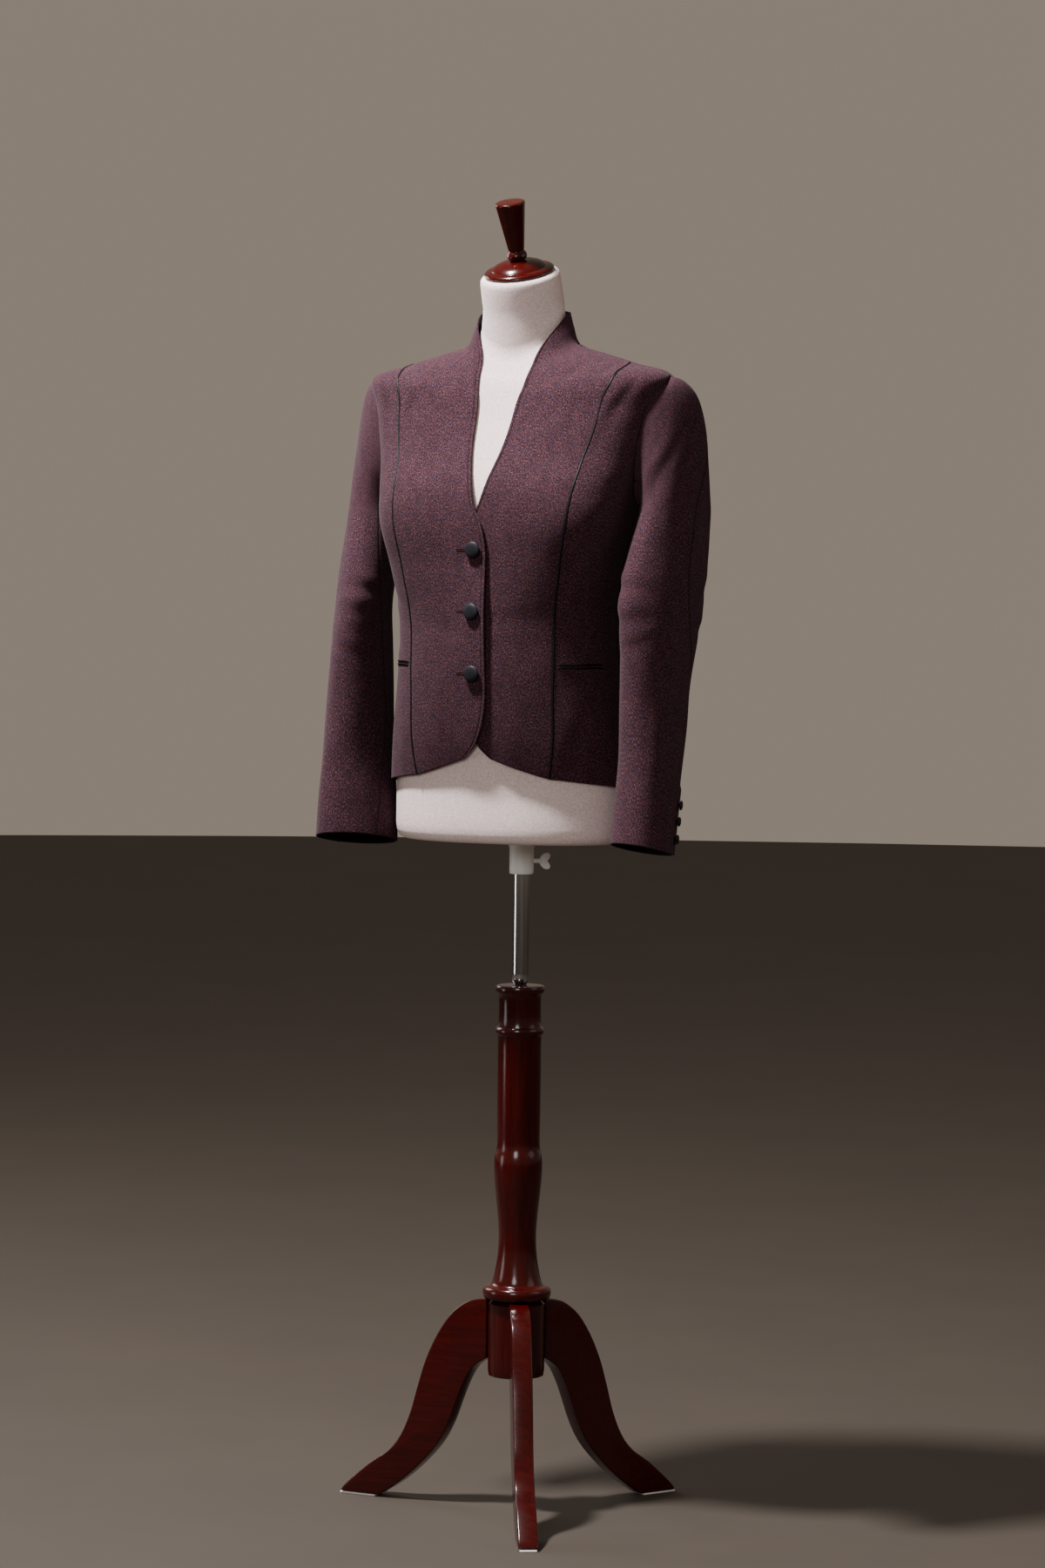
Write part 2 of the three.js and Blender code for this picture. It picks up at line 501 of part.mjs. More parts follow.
const poleLow = PILLAR_TOP + 0.3;
put("pole", new THREE.CylinderGeometry(POLE_R, POLE_R, POLE_TOP - poleLow, 24).rotateX(Math.PI / 2), CHROME())
  .position.z = (POLE_TOP + poleLow) / 2;
put("pillar", turned(PILLAR, 22), MAHOGANY());
put("hub", turned([[0, HUB.low], [HUB.r - 2, HUB.low], [HUB.r, HUB.low + 2], [HUB.r, HUB.high], [0, HUB.high]], 28),
  MAHOGANY());
LEG.angles.forEach((angle, i) => {
  const leg = new THREE.Group();
  leg.rotation.z = rad(angle - 90);
  blazer.add(leg);
  const outline = new THREE.Shape(LEG_OUTLINE.map(([r, z]) => new THREE.Vector2(r, z)));
  const wood = new THREE.ExtrudeGeometry(outline, { depth: LEG.width, bevelEnabled: false });
  put(`leg_${i + 1}`, wood.translate(0, 0, -LEG.width / 2).rotateX(Math.PI / 2), MAHOGANY(), leg);
  const pad = new THREE.BoxGeometry(PAD.far - PAD.near, PAD.width, PAD.thick);
  put(`foot_pad_${i + 1}`, pad, MILKY(), leg).position.set((PAD.far + PAD.near) / 2, 0, PAD.thick / 2);
});

export default blazer;
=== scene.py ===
import bpy, math
import numpy as np
from mathutils import Matrix, Vector


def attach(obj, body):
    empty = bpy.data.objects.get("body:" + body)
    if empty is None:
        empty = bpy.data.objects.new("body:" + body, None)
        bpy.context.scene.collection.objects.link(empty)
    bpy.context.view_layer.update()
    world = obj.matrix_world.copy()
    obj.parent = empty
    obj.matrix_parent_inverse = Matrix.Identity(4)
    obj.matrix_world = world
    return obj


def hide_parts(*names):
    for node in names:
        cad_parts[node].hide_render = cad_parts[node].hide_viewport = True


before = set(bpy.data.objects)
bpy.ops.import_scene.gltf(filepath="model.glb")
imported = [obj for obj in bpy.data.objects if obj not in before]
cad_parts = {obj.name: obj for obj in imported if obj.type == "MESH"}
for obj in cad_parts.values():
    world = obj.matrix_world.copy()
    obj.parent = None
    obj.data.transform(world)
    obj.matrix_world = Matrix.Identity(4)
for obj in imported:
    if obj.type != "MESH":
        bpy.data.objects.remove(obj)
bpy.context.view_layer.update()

# ---- Camera and cords -------------------------------------------------------
# A long lens at chest height, level, a little to the wearer's left of the front.
# There is no cord on this object.
AXIS = Vector((0.00075, 0.0016, 0.0))  # the pole's axis on the floor
FRAME, SENSOR = 1800, 36.0  # the frame's height in pixels and in millimetres
view_angle, distance, lens_height, roll = math.radians(25.0), 5.85, 1.229, math.radians(0.65)
camera_data = bpy.data.cameras.new("camera")
camera_data.sensor_fit = "VERTICAL"
camera_data.sensor_height = SENSOR
camera_data.lens = 5206 / FRAME * SENSOR
camera_data.shift_x, camera_data.shift_y = -2.95 / FRAME, -260 / FRAME
camera_data.clip_end = 60
camera = bpy.data.objects.new("camera", camera_data)
bpy.context.scene.collection.objects.link(camera)
camera.matrix_world = (
    Matrix.Translation(AXIS + Vector((distance * math.sin(view_angle), -distance * math.cos(view_angle), lens_height)))
    @ Matrix.Rotation(view_angle, 4, "Z") @ Matrix.Rotation(math.pi / 2, 4, "X")
    @ Matrix.Rotation(roll, 4, "Z"))
bpy.context.scene.camera = camera

# ---- Studio -----------------------------------------------------------------
# A dark floor under a small high key from the wearer's right front, with weak fills
# and a soft light on the back. There is no wall, so every side can be looked at.
def deselect():
    if bpy.context.object and bpy.context.object.mode != "OBJECT":
        bpy.ops.object.mode_set(mode="OBJECT")
    for thing in bpy.context.selected_objects:
        thing.select_set(False)


deselect()
bpy.ops.mesh.primitive_circle_add(vertices=96, radius=14, fill_type="NGON")
floor = bpy.context.object
floor.name = "studio_floor"
world = bpy.data.worlds.new("studio")
bpy.context.scene.world = world
world.use_nodes = True
world.node_tree.nodes["Background"].inputs["Color"].default_value = (0.78, 0.64, 0.52, 1)
world.node_tree.nodes["Background"].inputs["Strength"].default_value = 0.34
across = Vector((math.cos(view_angle), math.sin(view_angle), 0))
toward = Vector((math.sin(view_angle), -math.cos(view_angle), 0))
for name, right, near, height, size, watts in (
    ("key", -1.2, 0.6, 3.9, 0.35, 400),
    ("front", -0.9, 3.8, 1.9, 1.2, 44),
    ("fill", 2.9, 0.9, 1.9, 2.0, 9),
    ("low", -2.7, 0.2, 0.62, 0.8, 6),
    ("back", -2.9, -2.5, 2.3, 2.2, 60),
):
    light_data = bpy.data.lights.new(name, "AREA")
    light_data.shape = "DISK"
    light_data.size = size
    light_data.energy = watts
    light = bpy.data.objects.new(name, light_data)
    bpy.context.scene.collection.objects.link(light)
    light.location = AXIS + across * right + toward * near + Vector((0, 0, height))
    light.rotation_euler = (AXIS + Vector((0, 0, 1.0)) - light.location).to_track_quat("-Z", "Y").to_euler()


OBJECT_COORDS, UV_COORDS = 3, 2  # outputs of the Texture Coordinate node


class Link:
    """A socket that Python arithmetic works on: each operator adds its Math node."""

    def __init__(self, tree, socket):
        self.tree, self.socket = tree, socket

    def _math(self, operation, *terms):
        node = self.tree.nodes.new("ShaderNodeMath")
        node.operation = operation
        for slot, value in zip(node.inputs, terms):
            self.put(slot, value)
        return Link(self.tree, node.outputs[0])

    def put(self, slot, value):
        if isinstance(value, Link):
            self.tree.links.new(value.socket, slot)
        else:
            slot.default_value = value

    def __add__(self, other): return self._math("ADD", self, other)
    def __radd__(self, other): return self._math("ADD", other, self)
    def __sub__(self, other): return self._math("SUBTRACT", self, other)
    def __mul__(self, other): return self._math("MULTIPLY", self, other)

    def node(self, kind, settings=None, output=0, stops=None, **values):
        """Adds any other node. Keyword names are socket names, _ for a space; iN is input N."""
        made = self.tree.nodes.new(kind)
        for key, value in (settings or {}).items():
            setattr(made, key, value)
        if stops:
            ramp = made.color_ramp
            while len(ramp.elements) < len(stops):
                ramp.elements.new(0.5)
            for element, (place, colour) in zip(ramp.elements, stops):
                element.position, element.color = place, colour
        for key, value in values.items():
            numbered = key[0] == "i" and key[1:].isdigit()
            self.put(made.inputs[int(key[1:]) if numbered else key.replace("_", " ")], value)
        return Link(self.tree, made.outputs[output])


class Paint(Link):
    """A material with its shader's constant sockets set, to hang nodes on; coords is its map."""

    def __init__(self, name, coords=OBJECT_COORDS, **shader_values):
        self.material = bpy.data.materials.new(name)
        self.material.use_nodes = True
        super().__init__(self.material.node_tree, None)
        self.shader = self.tree.nodes["Principled BSDF"]
        for key, value in shader_values.items():
            self.shader.inputs[key.replace("_", " ")].default_value = value
        self.where = self.node("ShaderNodeTexCoord", output=coords)

    def noise(self, scale, detail, stretch=None, shift=(0, 0, 0), **values):
        """Noise over the object; stretch gives each axis its own scale."""
        where = self.where
        if stretch:
            where = self.node("ShaderNodeMapping", Vector=where, Scale=stretch, Location=shift)
        return self.node("ShaderNodeTexNoise", Vector=where, Scale=scale, Detail=detail, **values)

    def mix(self, share, first, second, blend="MIX"):
        return self.node("ShaderNodeMix", {"data_type": "RGBA", "blend_type": blend}, 2, i0=share,
                         **{key: colour if isinstance(colour, Link) else (*colour, 1)
                            for key, colour in (("i6", first), ("i7", second))})

    def steps(self, source, *stops):
        """A colour ramp over a source; a stop is a place and a colour."""
        return self.node("ShaderNodeValToRGB", Fac=source, stops=[(place, (*colour, 1)) for place, colour in stops])

    def switch(self, source, low, high):
        """Goes from 0 to 1 where the source goes from low to high."""
        return self.steps(source, (low, (0, 0, 0)), (high, (1, 1, 1)))

    def bump(self, strength, distance, height):
        return self.node("ShaderNodeBump", Strength=strength, Distance=distance, Height=height)

    def feed(self, **links):
        for key, link in links.items():
            self.tree.links.new(link.socket, self.shader.inputs[key.replace("_", " ")])


floor_paint = Paint("floor_paint", Roughness=0.75)
patch = floor_paint.noise(2.2, 12.0, Roughness=0.72)
floor_paint.feed(Base_Color=floor_paint.mix(patch, (0.026, 0.018, 0.012), (0.044, 0.031, 0.021)))
floor.data.materials.append(floor_paint.material)

# ---- Legs, hub and pillar ---------------------------------------------------
# Turned and sawn mahogany under a dark red gloss lacquer. The legs are flat boards
# with rounded edges, glued to the hub, and the pillar stands on the hub's spigot.
def choose(piece):
    deselect()
    piece.select_set(True)
    bpy.context.view_layer.objects.active = piece


def new_piece(name, verts, edges, faces):
    mesh = bpy.data.meshes.new(name)
    mesh.from_pydata(verts, edges, faces)
    piece = bpy.data.objects.new(name, mesh)
    bpy.context.scene.collection.objects.link(piece)
    return piece


def face_outwards(piece, *steps):
    """Runs edit steps on a piece's whole mesh, then turns its faces outwards."""
    choose(piece)
    bpy.ops.object.mode_set(mode="EDIT")
    bpy.ops.mesh.select_all(action="SELECT")
    for step in steps:
        step()
        bpy.ops.mesh.select_all(action="SELECT")
    bpy.ops.mesh.normals_make_consistent(inside=False)
    bpy.ops.object.mode_set(mode="OBJECT")
    return piece


def bevelled(piece, width, segments, angle=30):
    """Rounds the edges that turn by more than an angle."""
    bevel = piece.modifiers.new("edge", "BEVEL")
    bevel.width, bevel.segments, bevel.limit_method, bevel.angle_limit = width, segments, "ANGLE", math.radians(angle)
    bpy.ops.object.modifier_apply(modifier="edge")
    return piece


def board(outline, thickness, width, segments):
    """A flat board, metres thick, cut to an outline of (x, z) millimetres, its edges rounded by a width."""
    edge = [(x / 1000, -thickness / 2, z / 1000) for x, z in outline]
    piece = new_piece("board", edge, [], [tuple(range(len(edge)))])
    face_outwards(piece, lambda: bpy.ops.mesh.extrude_region_move(
        TRANSFORM_OT_translate={"value": (0, thickness, 0)}))
    return bevelled(piece, width, segments, 50)


def finish_piece(piece, name, body, paint, slot, *nodes, smooth=35):
    """Places a finished piece's mesh, smooths and paints it, hands it to its body and hides the CAD nodes it stands in
    for.
    """
    choose(piece)
    bpy.ops.object.transform_apply(location=True, rotation=True, scale=True)
    bpy.ops.object.shade_smooth_by_angle(angle=math.radians(smooth))
    piece.name = name
    piece.data.name = name
    piece.data.materials.clear()
    piece.data.materials.append(paint.material)
    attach(piece, body)
    if nodes:
        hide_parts(*nodes)


def turned(profile, steps=72):
    """Spins a profile of (radius, height) millimetres round the upright axis into a closed solid."""
    piece = new_piece("turned", [(r / 1000, 0, z / 1000) for r, z in profile],
                      [(i, i + 1) for i in range(len(profile) - 1)], [])
    return face_outwards(
        piece, lambda: bpy.ops.mesh.spin(steps=steps, angle=2 * math.pi, center=(0, 0, 0), axis=(0, 0, 1)),
        lambda: bpy.ops.mesh.remove_doubles(threshold=0.00003))


def rounded(profile, rounds=2):
    """Cuts the inner corners of a profile so that its turned edges are soft."""
    points = [Vector(p) for p in profile]
    for _ in range(rounds):
        soft = [points[0]]
        for a, b in zip(points, points[1:]):
            soft += [a.lerp(b, 0.25), a.lerp(b, 0.75)]
        points = soft + [points[-1]]
    return [tuple(p) for p in points]


def lacquered_wood(name, along):
    """Dark red mahogany: fine grain and pores under gloss lacquer."""
    wood = Paint(name, Roughness=0.16, Specular_IOR_Level=0.28, Coat_Weight=0.1, Coat_Roughness=0.05)
    grain = wood.noise(3.0, 6.0, along, Roughness=0.6, Distortion=0.6)
    pores = wood.noise(14.0, 3.0, along, Roughness=0.7)
    colour = wood.steps(grain, (0.25, (0.018, 0.0004, 0.0004)), (0.5, (0.029, 0.0007, 0.0006)),
                        (0.72, (0.042, 0.0013, 0.0010)))
    wood.feed(Base_Color=wood.mix(wood.switch(pores, 0.55, 0.7) * 0.35, colour, (0.006, 0.001, 0.001)),
              Roughness=0.15 + pores * 0.08, Normal=wood.bump(0.03, 0.0005, grain + pores * 0.6))
    return wood


turned_wood = lacquered_wood("turned_mahogany", (60, 60, 5))
PILLAR = [
    (0, 273.8), (41, 273.8), (44, 277), (44, 286), (41, 290), (34, 291), (31.5, 296), (29, 306), (25.5, 326),
    (23.8, 352), (25.5, 380), (29, 410), (31.5, 440), (30.5, 458), (27.2, 468), (27.8, 500), (28, 560),
    (27.8, 612), (30, 614), (31.5, 618), (30.5, 623), (27.2, 625), (27, 662), (28.5, 666), (31.5, 669),
    (31.5, 675), (30, 678), (0, 678),
]
pillar = turned(rounded(PILLAR))
pillar.location = AXIS
finish_piece(pillar, "turned_pillar", "base", turned_wood, "mahogany", "pillar")
hub = turned(rounded([(0, 174), (33, 174), (36.5, 176), (36.5, 200), (36.5, 250), (36.5, 273.4), (0, 273.4)], 1))
hub.location = AXIS
finish_piece(hub, "leg_hub", "base", turned_wood, "mahogany", "hub")

LEG_OUTLINE = [  # distance from the pillar's axis and height, round the board
    (36.9, 272), (55, 269), (70, 263), (90, 247), (109, 219.6), (125, 185.6), (137, 148), (147, 114),
    (161, 83.4), (179, 62), (204, 45), (226, 26.7), (242, 12), (248, 4), (245, 2.8), (193, 2.8),
    (163, 22), (133, 48), (107, 77), (91, 106), (80, 134.6), (69, 161), (56, 182), (36.9, 195),
]
LEG_CORNERS = {0, 13, 14, 15, 23}  # points of the outline where the curve stops
LEG_STRAIGHTS = {13, 14, 23}  # points with a straight line after them
LEG_THICK, LEG_ROUND = 0.025, 0.0045  # metres
leg_wood = lacquered_wood("leg_mahogany", (5, 60, 60))
pad_plastic = Paint("pad_plastic", Roughness=0.5)
pad_plastic.feed(Base_Color=pad_plastic.mix(pad_plastic.noise(180.0, 3.0), (0.62, 0.60, 0.55), (0.78, 0.76, 0.72)))


def smooth_outline(outline):
    """A curve through the outline's points with the hub end and the foot left sharp."""
    points = np.array(outline, float)
    out = []
    for i in range(len(points)):
        p, q = points[i], points[(i + 1) % len(points)]
        before = points[i - 1] if i not in LEG_CORNERS else p
        after = points[(i + 2) % len(points)] if (i + 1) % len(points) not in LEG_CORNERS else q
        for f in (0, 1 / 3, 2 / 3):
            if i in LEG_STRAIGHTS and f:
                continue
            out.append(0.5 * (2 * p + (q - before) * f + (2 * before - 5 * p + 4 * q - after) * f * f
                              + (3 * p - before - 3 * q + after) * f ** 3))
    return out


for number, angle in enumerate((-60.8, 59.2, 179.2), 1):
    leg = board(smooth_outline(LEG_OUTLINE), LEG_THICK, LEG_ROUND, 4)
    deselect()
    bpy.ops.mesh.primitive_cube_add(size=1, location=(0.2235, 0, 0.0012))
    pad = bpy.context.object
    pad.scale = (0.051, 0.0218, 0.0024)
    bpy.ops.object.transform_apply(location=True, rotation=True, scale=True)
    bevelled(pad, 0.0009, 3)
    for piece in (leg, pad):
        piece.rotation_euler.z = math.radians(angle)
        piece.location = AXIS
    finish_piece(leg, f"sawn_leg_{number}", "base", leg_wood, "mahogany", f"leg_{number}", smooth=40)
    finish_piece(pad, f"foot_glide_{number}", "base", pad_plastic, "milky", f"foot_pad_{number}")

# ---- Tube -------------------------------------------------------------------
# A chrome-plated steel tube that stands in the pillar's bore and can turn there.
# The form's socket slides on its upper end.
chrome = Paint("chrome_plate", Metallic=1.0, Roughness=0.1)
wipe = chrome.noise(1.0, 4.0, (300, 300, 6))
chrome.feed(Base_Color=chrome.mix(wipe, (0.50, 0.50, 0.52), (0.64, 0.64, 0.66)), Roughness=0.07 + wipe * 0.12)
tube = turned(rounded([(0, 678.3), (11, 678.3), (11, 700), (11, 1000), (11, 1112), (9, 1115), (0, 1115)], 1), 64)
tube.location = AXIS
finish_piece(tube, "chrome_tube", "tube", chrome, "chrome", "pole")

# ---- Socket and thumb screw -------------------------------------------------
# A moulded milky plastic collar under the form. The winged screw in its wall
# pinches the tube and holds the form's height.
milky = Paint("milky_plastic", Roughness=0.38, Subsurface_Weight=0.15, Subsurface_Radius=(0.004, 0.004, 0.0035))
cloud = milky.noise(90.0, 3.0)
milky.feed(Base_Color=milky.mix(cloud, (0.66, 0.65, 0.62), (0.76, 0.75, 0.72)), Roughness=0.33 + cloud * 0.14,
           Normal=milky.bump(0.08, 0.0003, cloud))
socket = turned(rounded([(11.35, 821), (14.8, 821), (15.8, 822.5), (15.8, 840), (15.8, 857.6), (19.3, 859.6),
                         (19.3, 864.6), (11.35, 864.6)], 1)[:-1] + [(11.35, 864.6), (11.35, 821)], 64)
socket.location = AXIS
finish_piece(socket, "form_socket", "form", milky, "milky", "socket")

deselect()
bpy.ops.mesh.primitive_cylinder_add(vertices=32, radius=0.003, depth=0.015, location=(0.019, 0, 0),
                                    rotation=(0, math.pi / 2, 0))
shank = bpy.context.object
bpy.ops.object.transform_apply(location=True, rotation=True, scale=True)
WING_OUTLINE = [(23, -3), (25, -6.5), (28, -9.5), (32, -11), (35.5, -10.3), (37, -8), (36.6, -5), (35, -2), (33, 0),
                (35, 2), (36.6, 5), (37, 8), (35.5, 10.3), (32, 11), (28, 9.5), (25, 6.5), (23, 3)]
wing = board(WING_OUTLINE, 0.0036, 0.0013, 3)
shank.select_set(True)
bpy.ops.object.join()
wing.rotation_euler.z = math.radians(25)
wing.location = AXIS + Vector((0, 0, 0.838))
finish_piece(wing, "winged_screw", "screw", milky, "milky", "thumb_screw")

# ---- Neck cap and finial ----------------------------------------------------
# A stepped mahogany cap closes the neck and leans forwards with it. The tapered
# finial is screwed into it over a small bead.
NECK = (0, -25, 1589.5)  # millimetres
lean = math.radians(19.5)
CAP = [(0, 4.8), (43.5, 4.8), (45.5, 6.3), (45.5, 8.4), (43, 11), (37.3, 12.4), (36, 12.2), (35.5, 13.2), (30, 17.5),
       (20, 21), (12.8, 22), (0, 22)]
FINIAL = [(0, 0), (9.5, 0), (12.6, 3), (13.1, 6.4), (12, 10), (9.6, 12.4), (10.3, 13.8), (10.6, 15), (14.8, 44),
          (19, 73), (19.4, 75.4), (18.2, 77), (14, 77.4), (0, 77.6)]
for profile, name, node, lift in ((CAP, "neck_cap_turned", "neck_cap", 0.3),
                                  (FINIAL, "finial_turned", "finial", 22.6)):
    piece = turned([(r, z + lift) for r, z in rounded(profile)])
    piece.rotation_euler.x = lean
    piece.location = AXIS + Vector(NECK) / 1000
    finish_piece(piece, name, "form", turned_wood, "mahogany", node)

# ---- Form -------------------------------------------------------------------
# A padded hard torso under a tightly stretched natural jersey, with no arms. Its
# underside is rolled in, and its shoulders carry the jacket.
LEVELS = np.array([  # heights front, side, back; half width; middle; depth front, back; squareness front, back
    [944, 937, 935, 167, -12, 119, 117, 2.4, 2.2],
    [1000, 1000, 1000, 161, -19, 124, 115, 2.35, 2.2],
    [1075, 1075, 1078, 151, -33, 118, 112, 2.2, 2.1],
    [1150, 1150, 1158, 147, -38, 114, 108, 2.25, 2.1],
    [1215, 1215, 1228, 153, -34, 118, 116, 3.0, 2.2],
    [1275, 1272, 1298, 164, -28, 124, 124, 3.9, 2.3],
    [1320, 1310, 1352, 172, -22, 122, 120, 3.5, 2.4],
    [1362, 1360, 1396, 184, -18, 104, 112, 2.9, 2.4],
    [1396, 1420, 1432, 198, -15, 88, 98, 2.6, 2.4],
    [1424, 1462, 1458, 206.5, -14, 76, 84, 2.5, 2.3],
    [1440, 1479, 1476, 155, -13, 69, 74, 2.3, 2.2],
    [1454, 1492, 1492, 110, -13, 62, 66, 2.2, 2.1],
    [1466, 1503, 1508, 77, -13, 55, 60, 2.1, 2.0],
    [1486, 1525, 1532, 67, -12, 48, 54, 2.0, 2.0],
    [1503, 1547, 1554, 61, -10, 42, 48, 2.0, 2.0],
], float)


def row_at(table, place, corner=-1):
    """Rows of a table at fractional places, smooth between rows; no curve runs past a corner row."""
    table = np.asarray(table, float)
    last = len(table) - 1
    at = np.clip(np.asarray(place, float), 0, last)
    i = np.minimum(np.floor(at).astype(int), last - 1)
    f = (at - i)[..., None]
    low = np.where((corner >= 0) & (i >= corner), corner, 0)
    high = np.where((corner >= 0) & (i < corner), corner, last)
    p, q, r, s = (table[np.clip(i + k, low, high)] for k in (-1, 0, 1, 2))
    return 0.5 * (2 * q + (r - p) * f + (2 * p - 5 * q + 4 * r - s) * f * f + (3 * q - p - 3 * r + s) * f ** 3)


def body_point(angle, level):
    """A point of the body in millimetres at an angle from the centre front and a level."""
    angle, level = np.broadcast_arrays(np.asarray(angle, float), np.asarray(level, float))
    f, s, b, a, cy, df, db, nf, nb = np.moveaxis(row_at(LEVELS, level), -1, 0)
    c, w = np.cos(np.radians(angle)), np.sin(np.radians(angle))
    depth, n, end = (np.where(c >= 0, x, y) for x, y in ((df, db), (nf, nb), (f, b)))
    reach = (np.abs(w / a) ** n + np.abs(c / depth) ** n) ** (-1 / n)
    return np.stack([reach * w, cy - reach * c, s + (end - s) * np.abs(c) ** 1.4], -1)


def unit(v):
    return v / np.maximum(np.linalg.norm(v, axis=-1, keepdims=True), 1e-9)


def body_normal(angle, level):
    across_it = body_point(angle + 0.2, level) - body_point(angle - 0.2, level)
    up = body_point(angle, np.minimum(level + 0.02, 14)) - body_point(angle, np.maximum(level - 0.02, 0))
    return unit(np.cross(across_it, up))


def grid_faces(rows, cols, closed=False):
    i, j = np.meshgrid(np.arange(rows - 1), np.arange(cols if closed else cols - 1), indexing="ij")
    k = (j + 1) % cols
    return np.stack([i * cols + j, i * cols + k, (i + 1) * cols + k, (i + 1) * cols + j], -1).reshape(-1, 4)


def mesh_piece(name, verts, faces):
    piece = new_piece(name, (np.asarray(verts) / 1000 + np.array(AXIS)).tolist(), [], [tuple(f) for f in faces])
    piece.data.validate()
    return piece


def closed_tube(rings, ends=None):
    """Rings of points become a closed skin, with a fan on a middle point at either end."""
    rows, cols = len(rings), len(rings[0])
    ends = (rings[0].mean(0), rings[-1].mean(0)) if ends is None else ends
    faces = grid_faces(rows, cols, closed=True).tolist()
    for end, row, turn in ((0, 0, 0), (1, rows - 1, 1)):
        here = (row * cols + np.arange(cols), row * cols + (np.arange(cols) + 1) % cols)
        faces += [(rows * cols + end, *pair) for pair in zip(here[1 - turn].tolist(), here[turn].tolist())]
    return np.concatenate([*rings, ends]), faces


def round_cord(path, over, out, width, height, steps):
    """Oval rings round a path: a width to either side of it and a height above and below."""
    return np.stack([path + over * width * math.cos(t) + out * height * math.sin(t)
                     for t in 2 * math.pi / steps * np.arange(steps)], 1)


EASE = [[7, 5], [7, 6], [7, 8], [6.5, 8], [6, 6], [6, 5], [5.5, 4], [4, 3.5], [3.4, 3.4],  # front, round; per level
        [3.4, 3.4], [2.2, 2.2], [1.7, 1.7], [2.4, 2.4], [6, 6], [9, 9]]
HIP_MIDDLE, HIP_EASE, LOWEST, COVER = -12, 6.8, 865, 1.9
UNDERSIDE = ((0.80, LOWEST), (0.86, 865.3), (0.92, 866.3), (0.955, 868.5), (0.98, 872.5), (0.993, 878), (1, 886),
             (1, 900), (1, 915), (1, 927))  # share of the hip's outline, height
NECK_RINGS = ((36, 52.5), (28, 52.5), (20, 52.4), (12, 52.2), (5, 51.9), (1, 51.5), (-1.6, 50.7), (-3.4, 49.2),
              (-4.3, 47.4), (-4.5, 45))  # down from the neck's middle, radius
SIDES = 120
around_form = np.arange(SIDES) * 360 / SIDES
hip = body_point(around_form, 0) - body_normal(around_form, 0) * HIP_EASE
rings = [np.stack([hip[:, 0] * scale, HIP_MIDDLE + (hip[:, 1] - HIP_MIDDLE) * scale, np.full(SIDES, height)], -1)
         for scale, height in UNDERSIDE]
for level in list(np.arange(0.4, 12.3, 0.2)) + [12.6, 13.2]:
    front_ease, ease = row_at(EASE, level)
    c = np.clip(np.cos(np.radians(around_form)), 0, 1)
    ease = COVER + ease + (front_ease - ease) * c * c
    rings.append(body_point(around_form, level) - body_normal(around_form, level) * ease[:, None])


def neck_ring(back, radius):
    """A ring round the leaning neck, at a distance down from its middle."""
    a = np.radians(around_form)
    c = -radius * np.cos(a)
    x, y, z = NECK
    return np.stack([x + radius * np.sin(a), y + c * math.cos(lean) + back * math.sin(lean),
                     z + c * math.sin(lean) - back * math.cos(lean)], -1)


neck_rings = [neck_ring(*ring) for ring in NECK_RINGS]
root = rings[-1]
rings += [root + (neck_rings[0] - root) * f for f in (0.25, 0.5, 0.75)] + neck_rings
top = neck_ring(NECK_RINGS[-1][0], 0)[0]
torso = mesh_piece("padded_torso", *closed_tube(rings, ([0, HIP_MIDDLE, LOWEST], top)))
bore = turned([(0, 840), (11.35, 840), (11.35, 1340), (0, 1340)], 48)
bore.location = AXIS
choose(torso)
cut = torso.modifiers.new("bore", "BOOLEAN")
cut.operation, cut.object, cut.solver = "DIFFERENCE", bore, "EXACT"
bpy.ops.object.modifier_apply(modifier="bore")
bpy.data.objects.remove(bore)

jersey = Paint("form_jersey", Roughness=0.9, Sheen_Weight=0.1, Sheen_Roughness=0.5)
stitches, slubs = jersey.noise(1.0, 2.0, (2600, 2600, 1500)), jersey.noise(1.0, 3.0, (70, 70, 900))
knit, cloud = jersey.noise(400.0, 3.0), jersey.noise(22.0, 4.0)
tint = jersey.mix(cloud, (0.78, 0.62, 0.60), (0.90, 0.735, 0.71))
jersey.feed(Base_Color=jersey.mix(stitches * 0.3 + slubs * 0.3 + knit * 1.5 - 0.52, tint, (0.52, 0.41, 0.39)),
            Normal=jersey.bump(0.25, 0.0004, stitches + slubs * 0.7 + cloud * 0.6))
finish_piece(torso, "padded_torso", "form", jersey, "jersey", "torso", smooth=60)

# ---- Jacket body ------------------------------------------------------------
# Plum wool flannel, 1.8 mm with its fused lining. Each front is cut in one with its
# half of the stand collar, and is sewn to a side front along a curved princess seam.
CLOTH, EDGE_ROUND, EDGE_DROP = 1.8, 0.45, 0.25  # thickness, and how far its edges are rolled
GROOVE = 4.6  # the pressed line's distance from a free edge
FRONT = [  # free edge: angle, level; princess seam and shoulder: angle, level
    (8, 0.61, 41, 0.22), (0.8, 0.84, 41.8, 0.5), (-3.2, 1.08, 42.7, 0.8), (-6.3, 1.36, 43.7, 1.15),
    (-8.4, 1.75, 45, 1.55), (-8.6, 2.4, 47.5, 2.2), (-8.5, 3.0, 48.7, 2.9), (-8.4, 3.7, 48, 3.6),
    (-8.0, 4.4, 47, 4.4), (-4.5, 4.95, 47, 5.2), (0.3, 5.35, 49, 6), (5, 6.15, 54, 6.75),
    (12, 7.25, 61.2, 7.7), (19, 8.85, 66.5, 8.72), (24, 9.9, 74.5, 9.6), (28, 10.8, 90, 10.1),
    (34, 11.8, 90, 11), (43, 12.6, 90, 12), (58, 13.15, 90, 12.9), (76, 13.5, 90, 13.8),
]
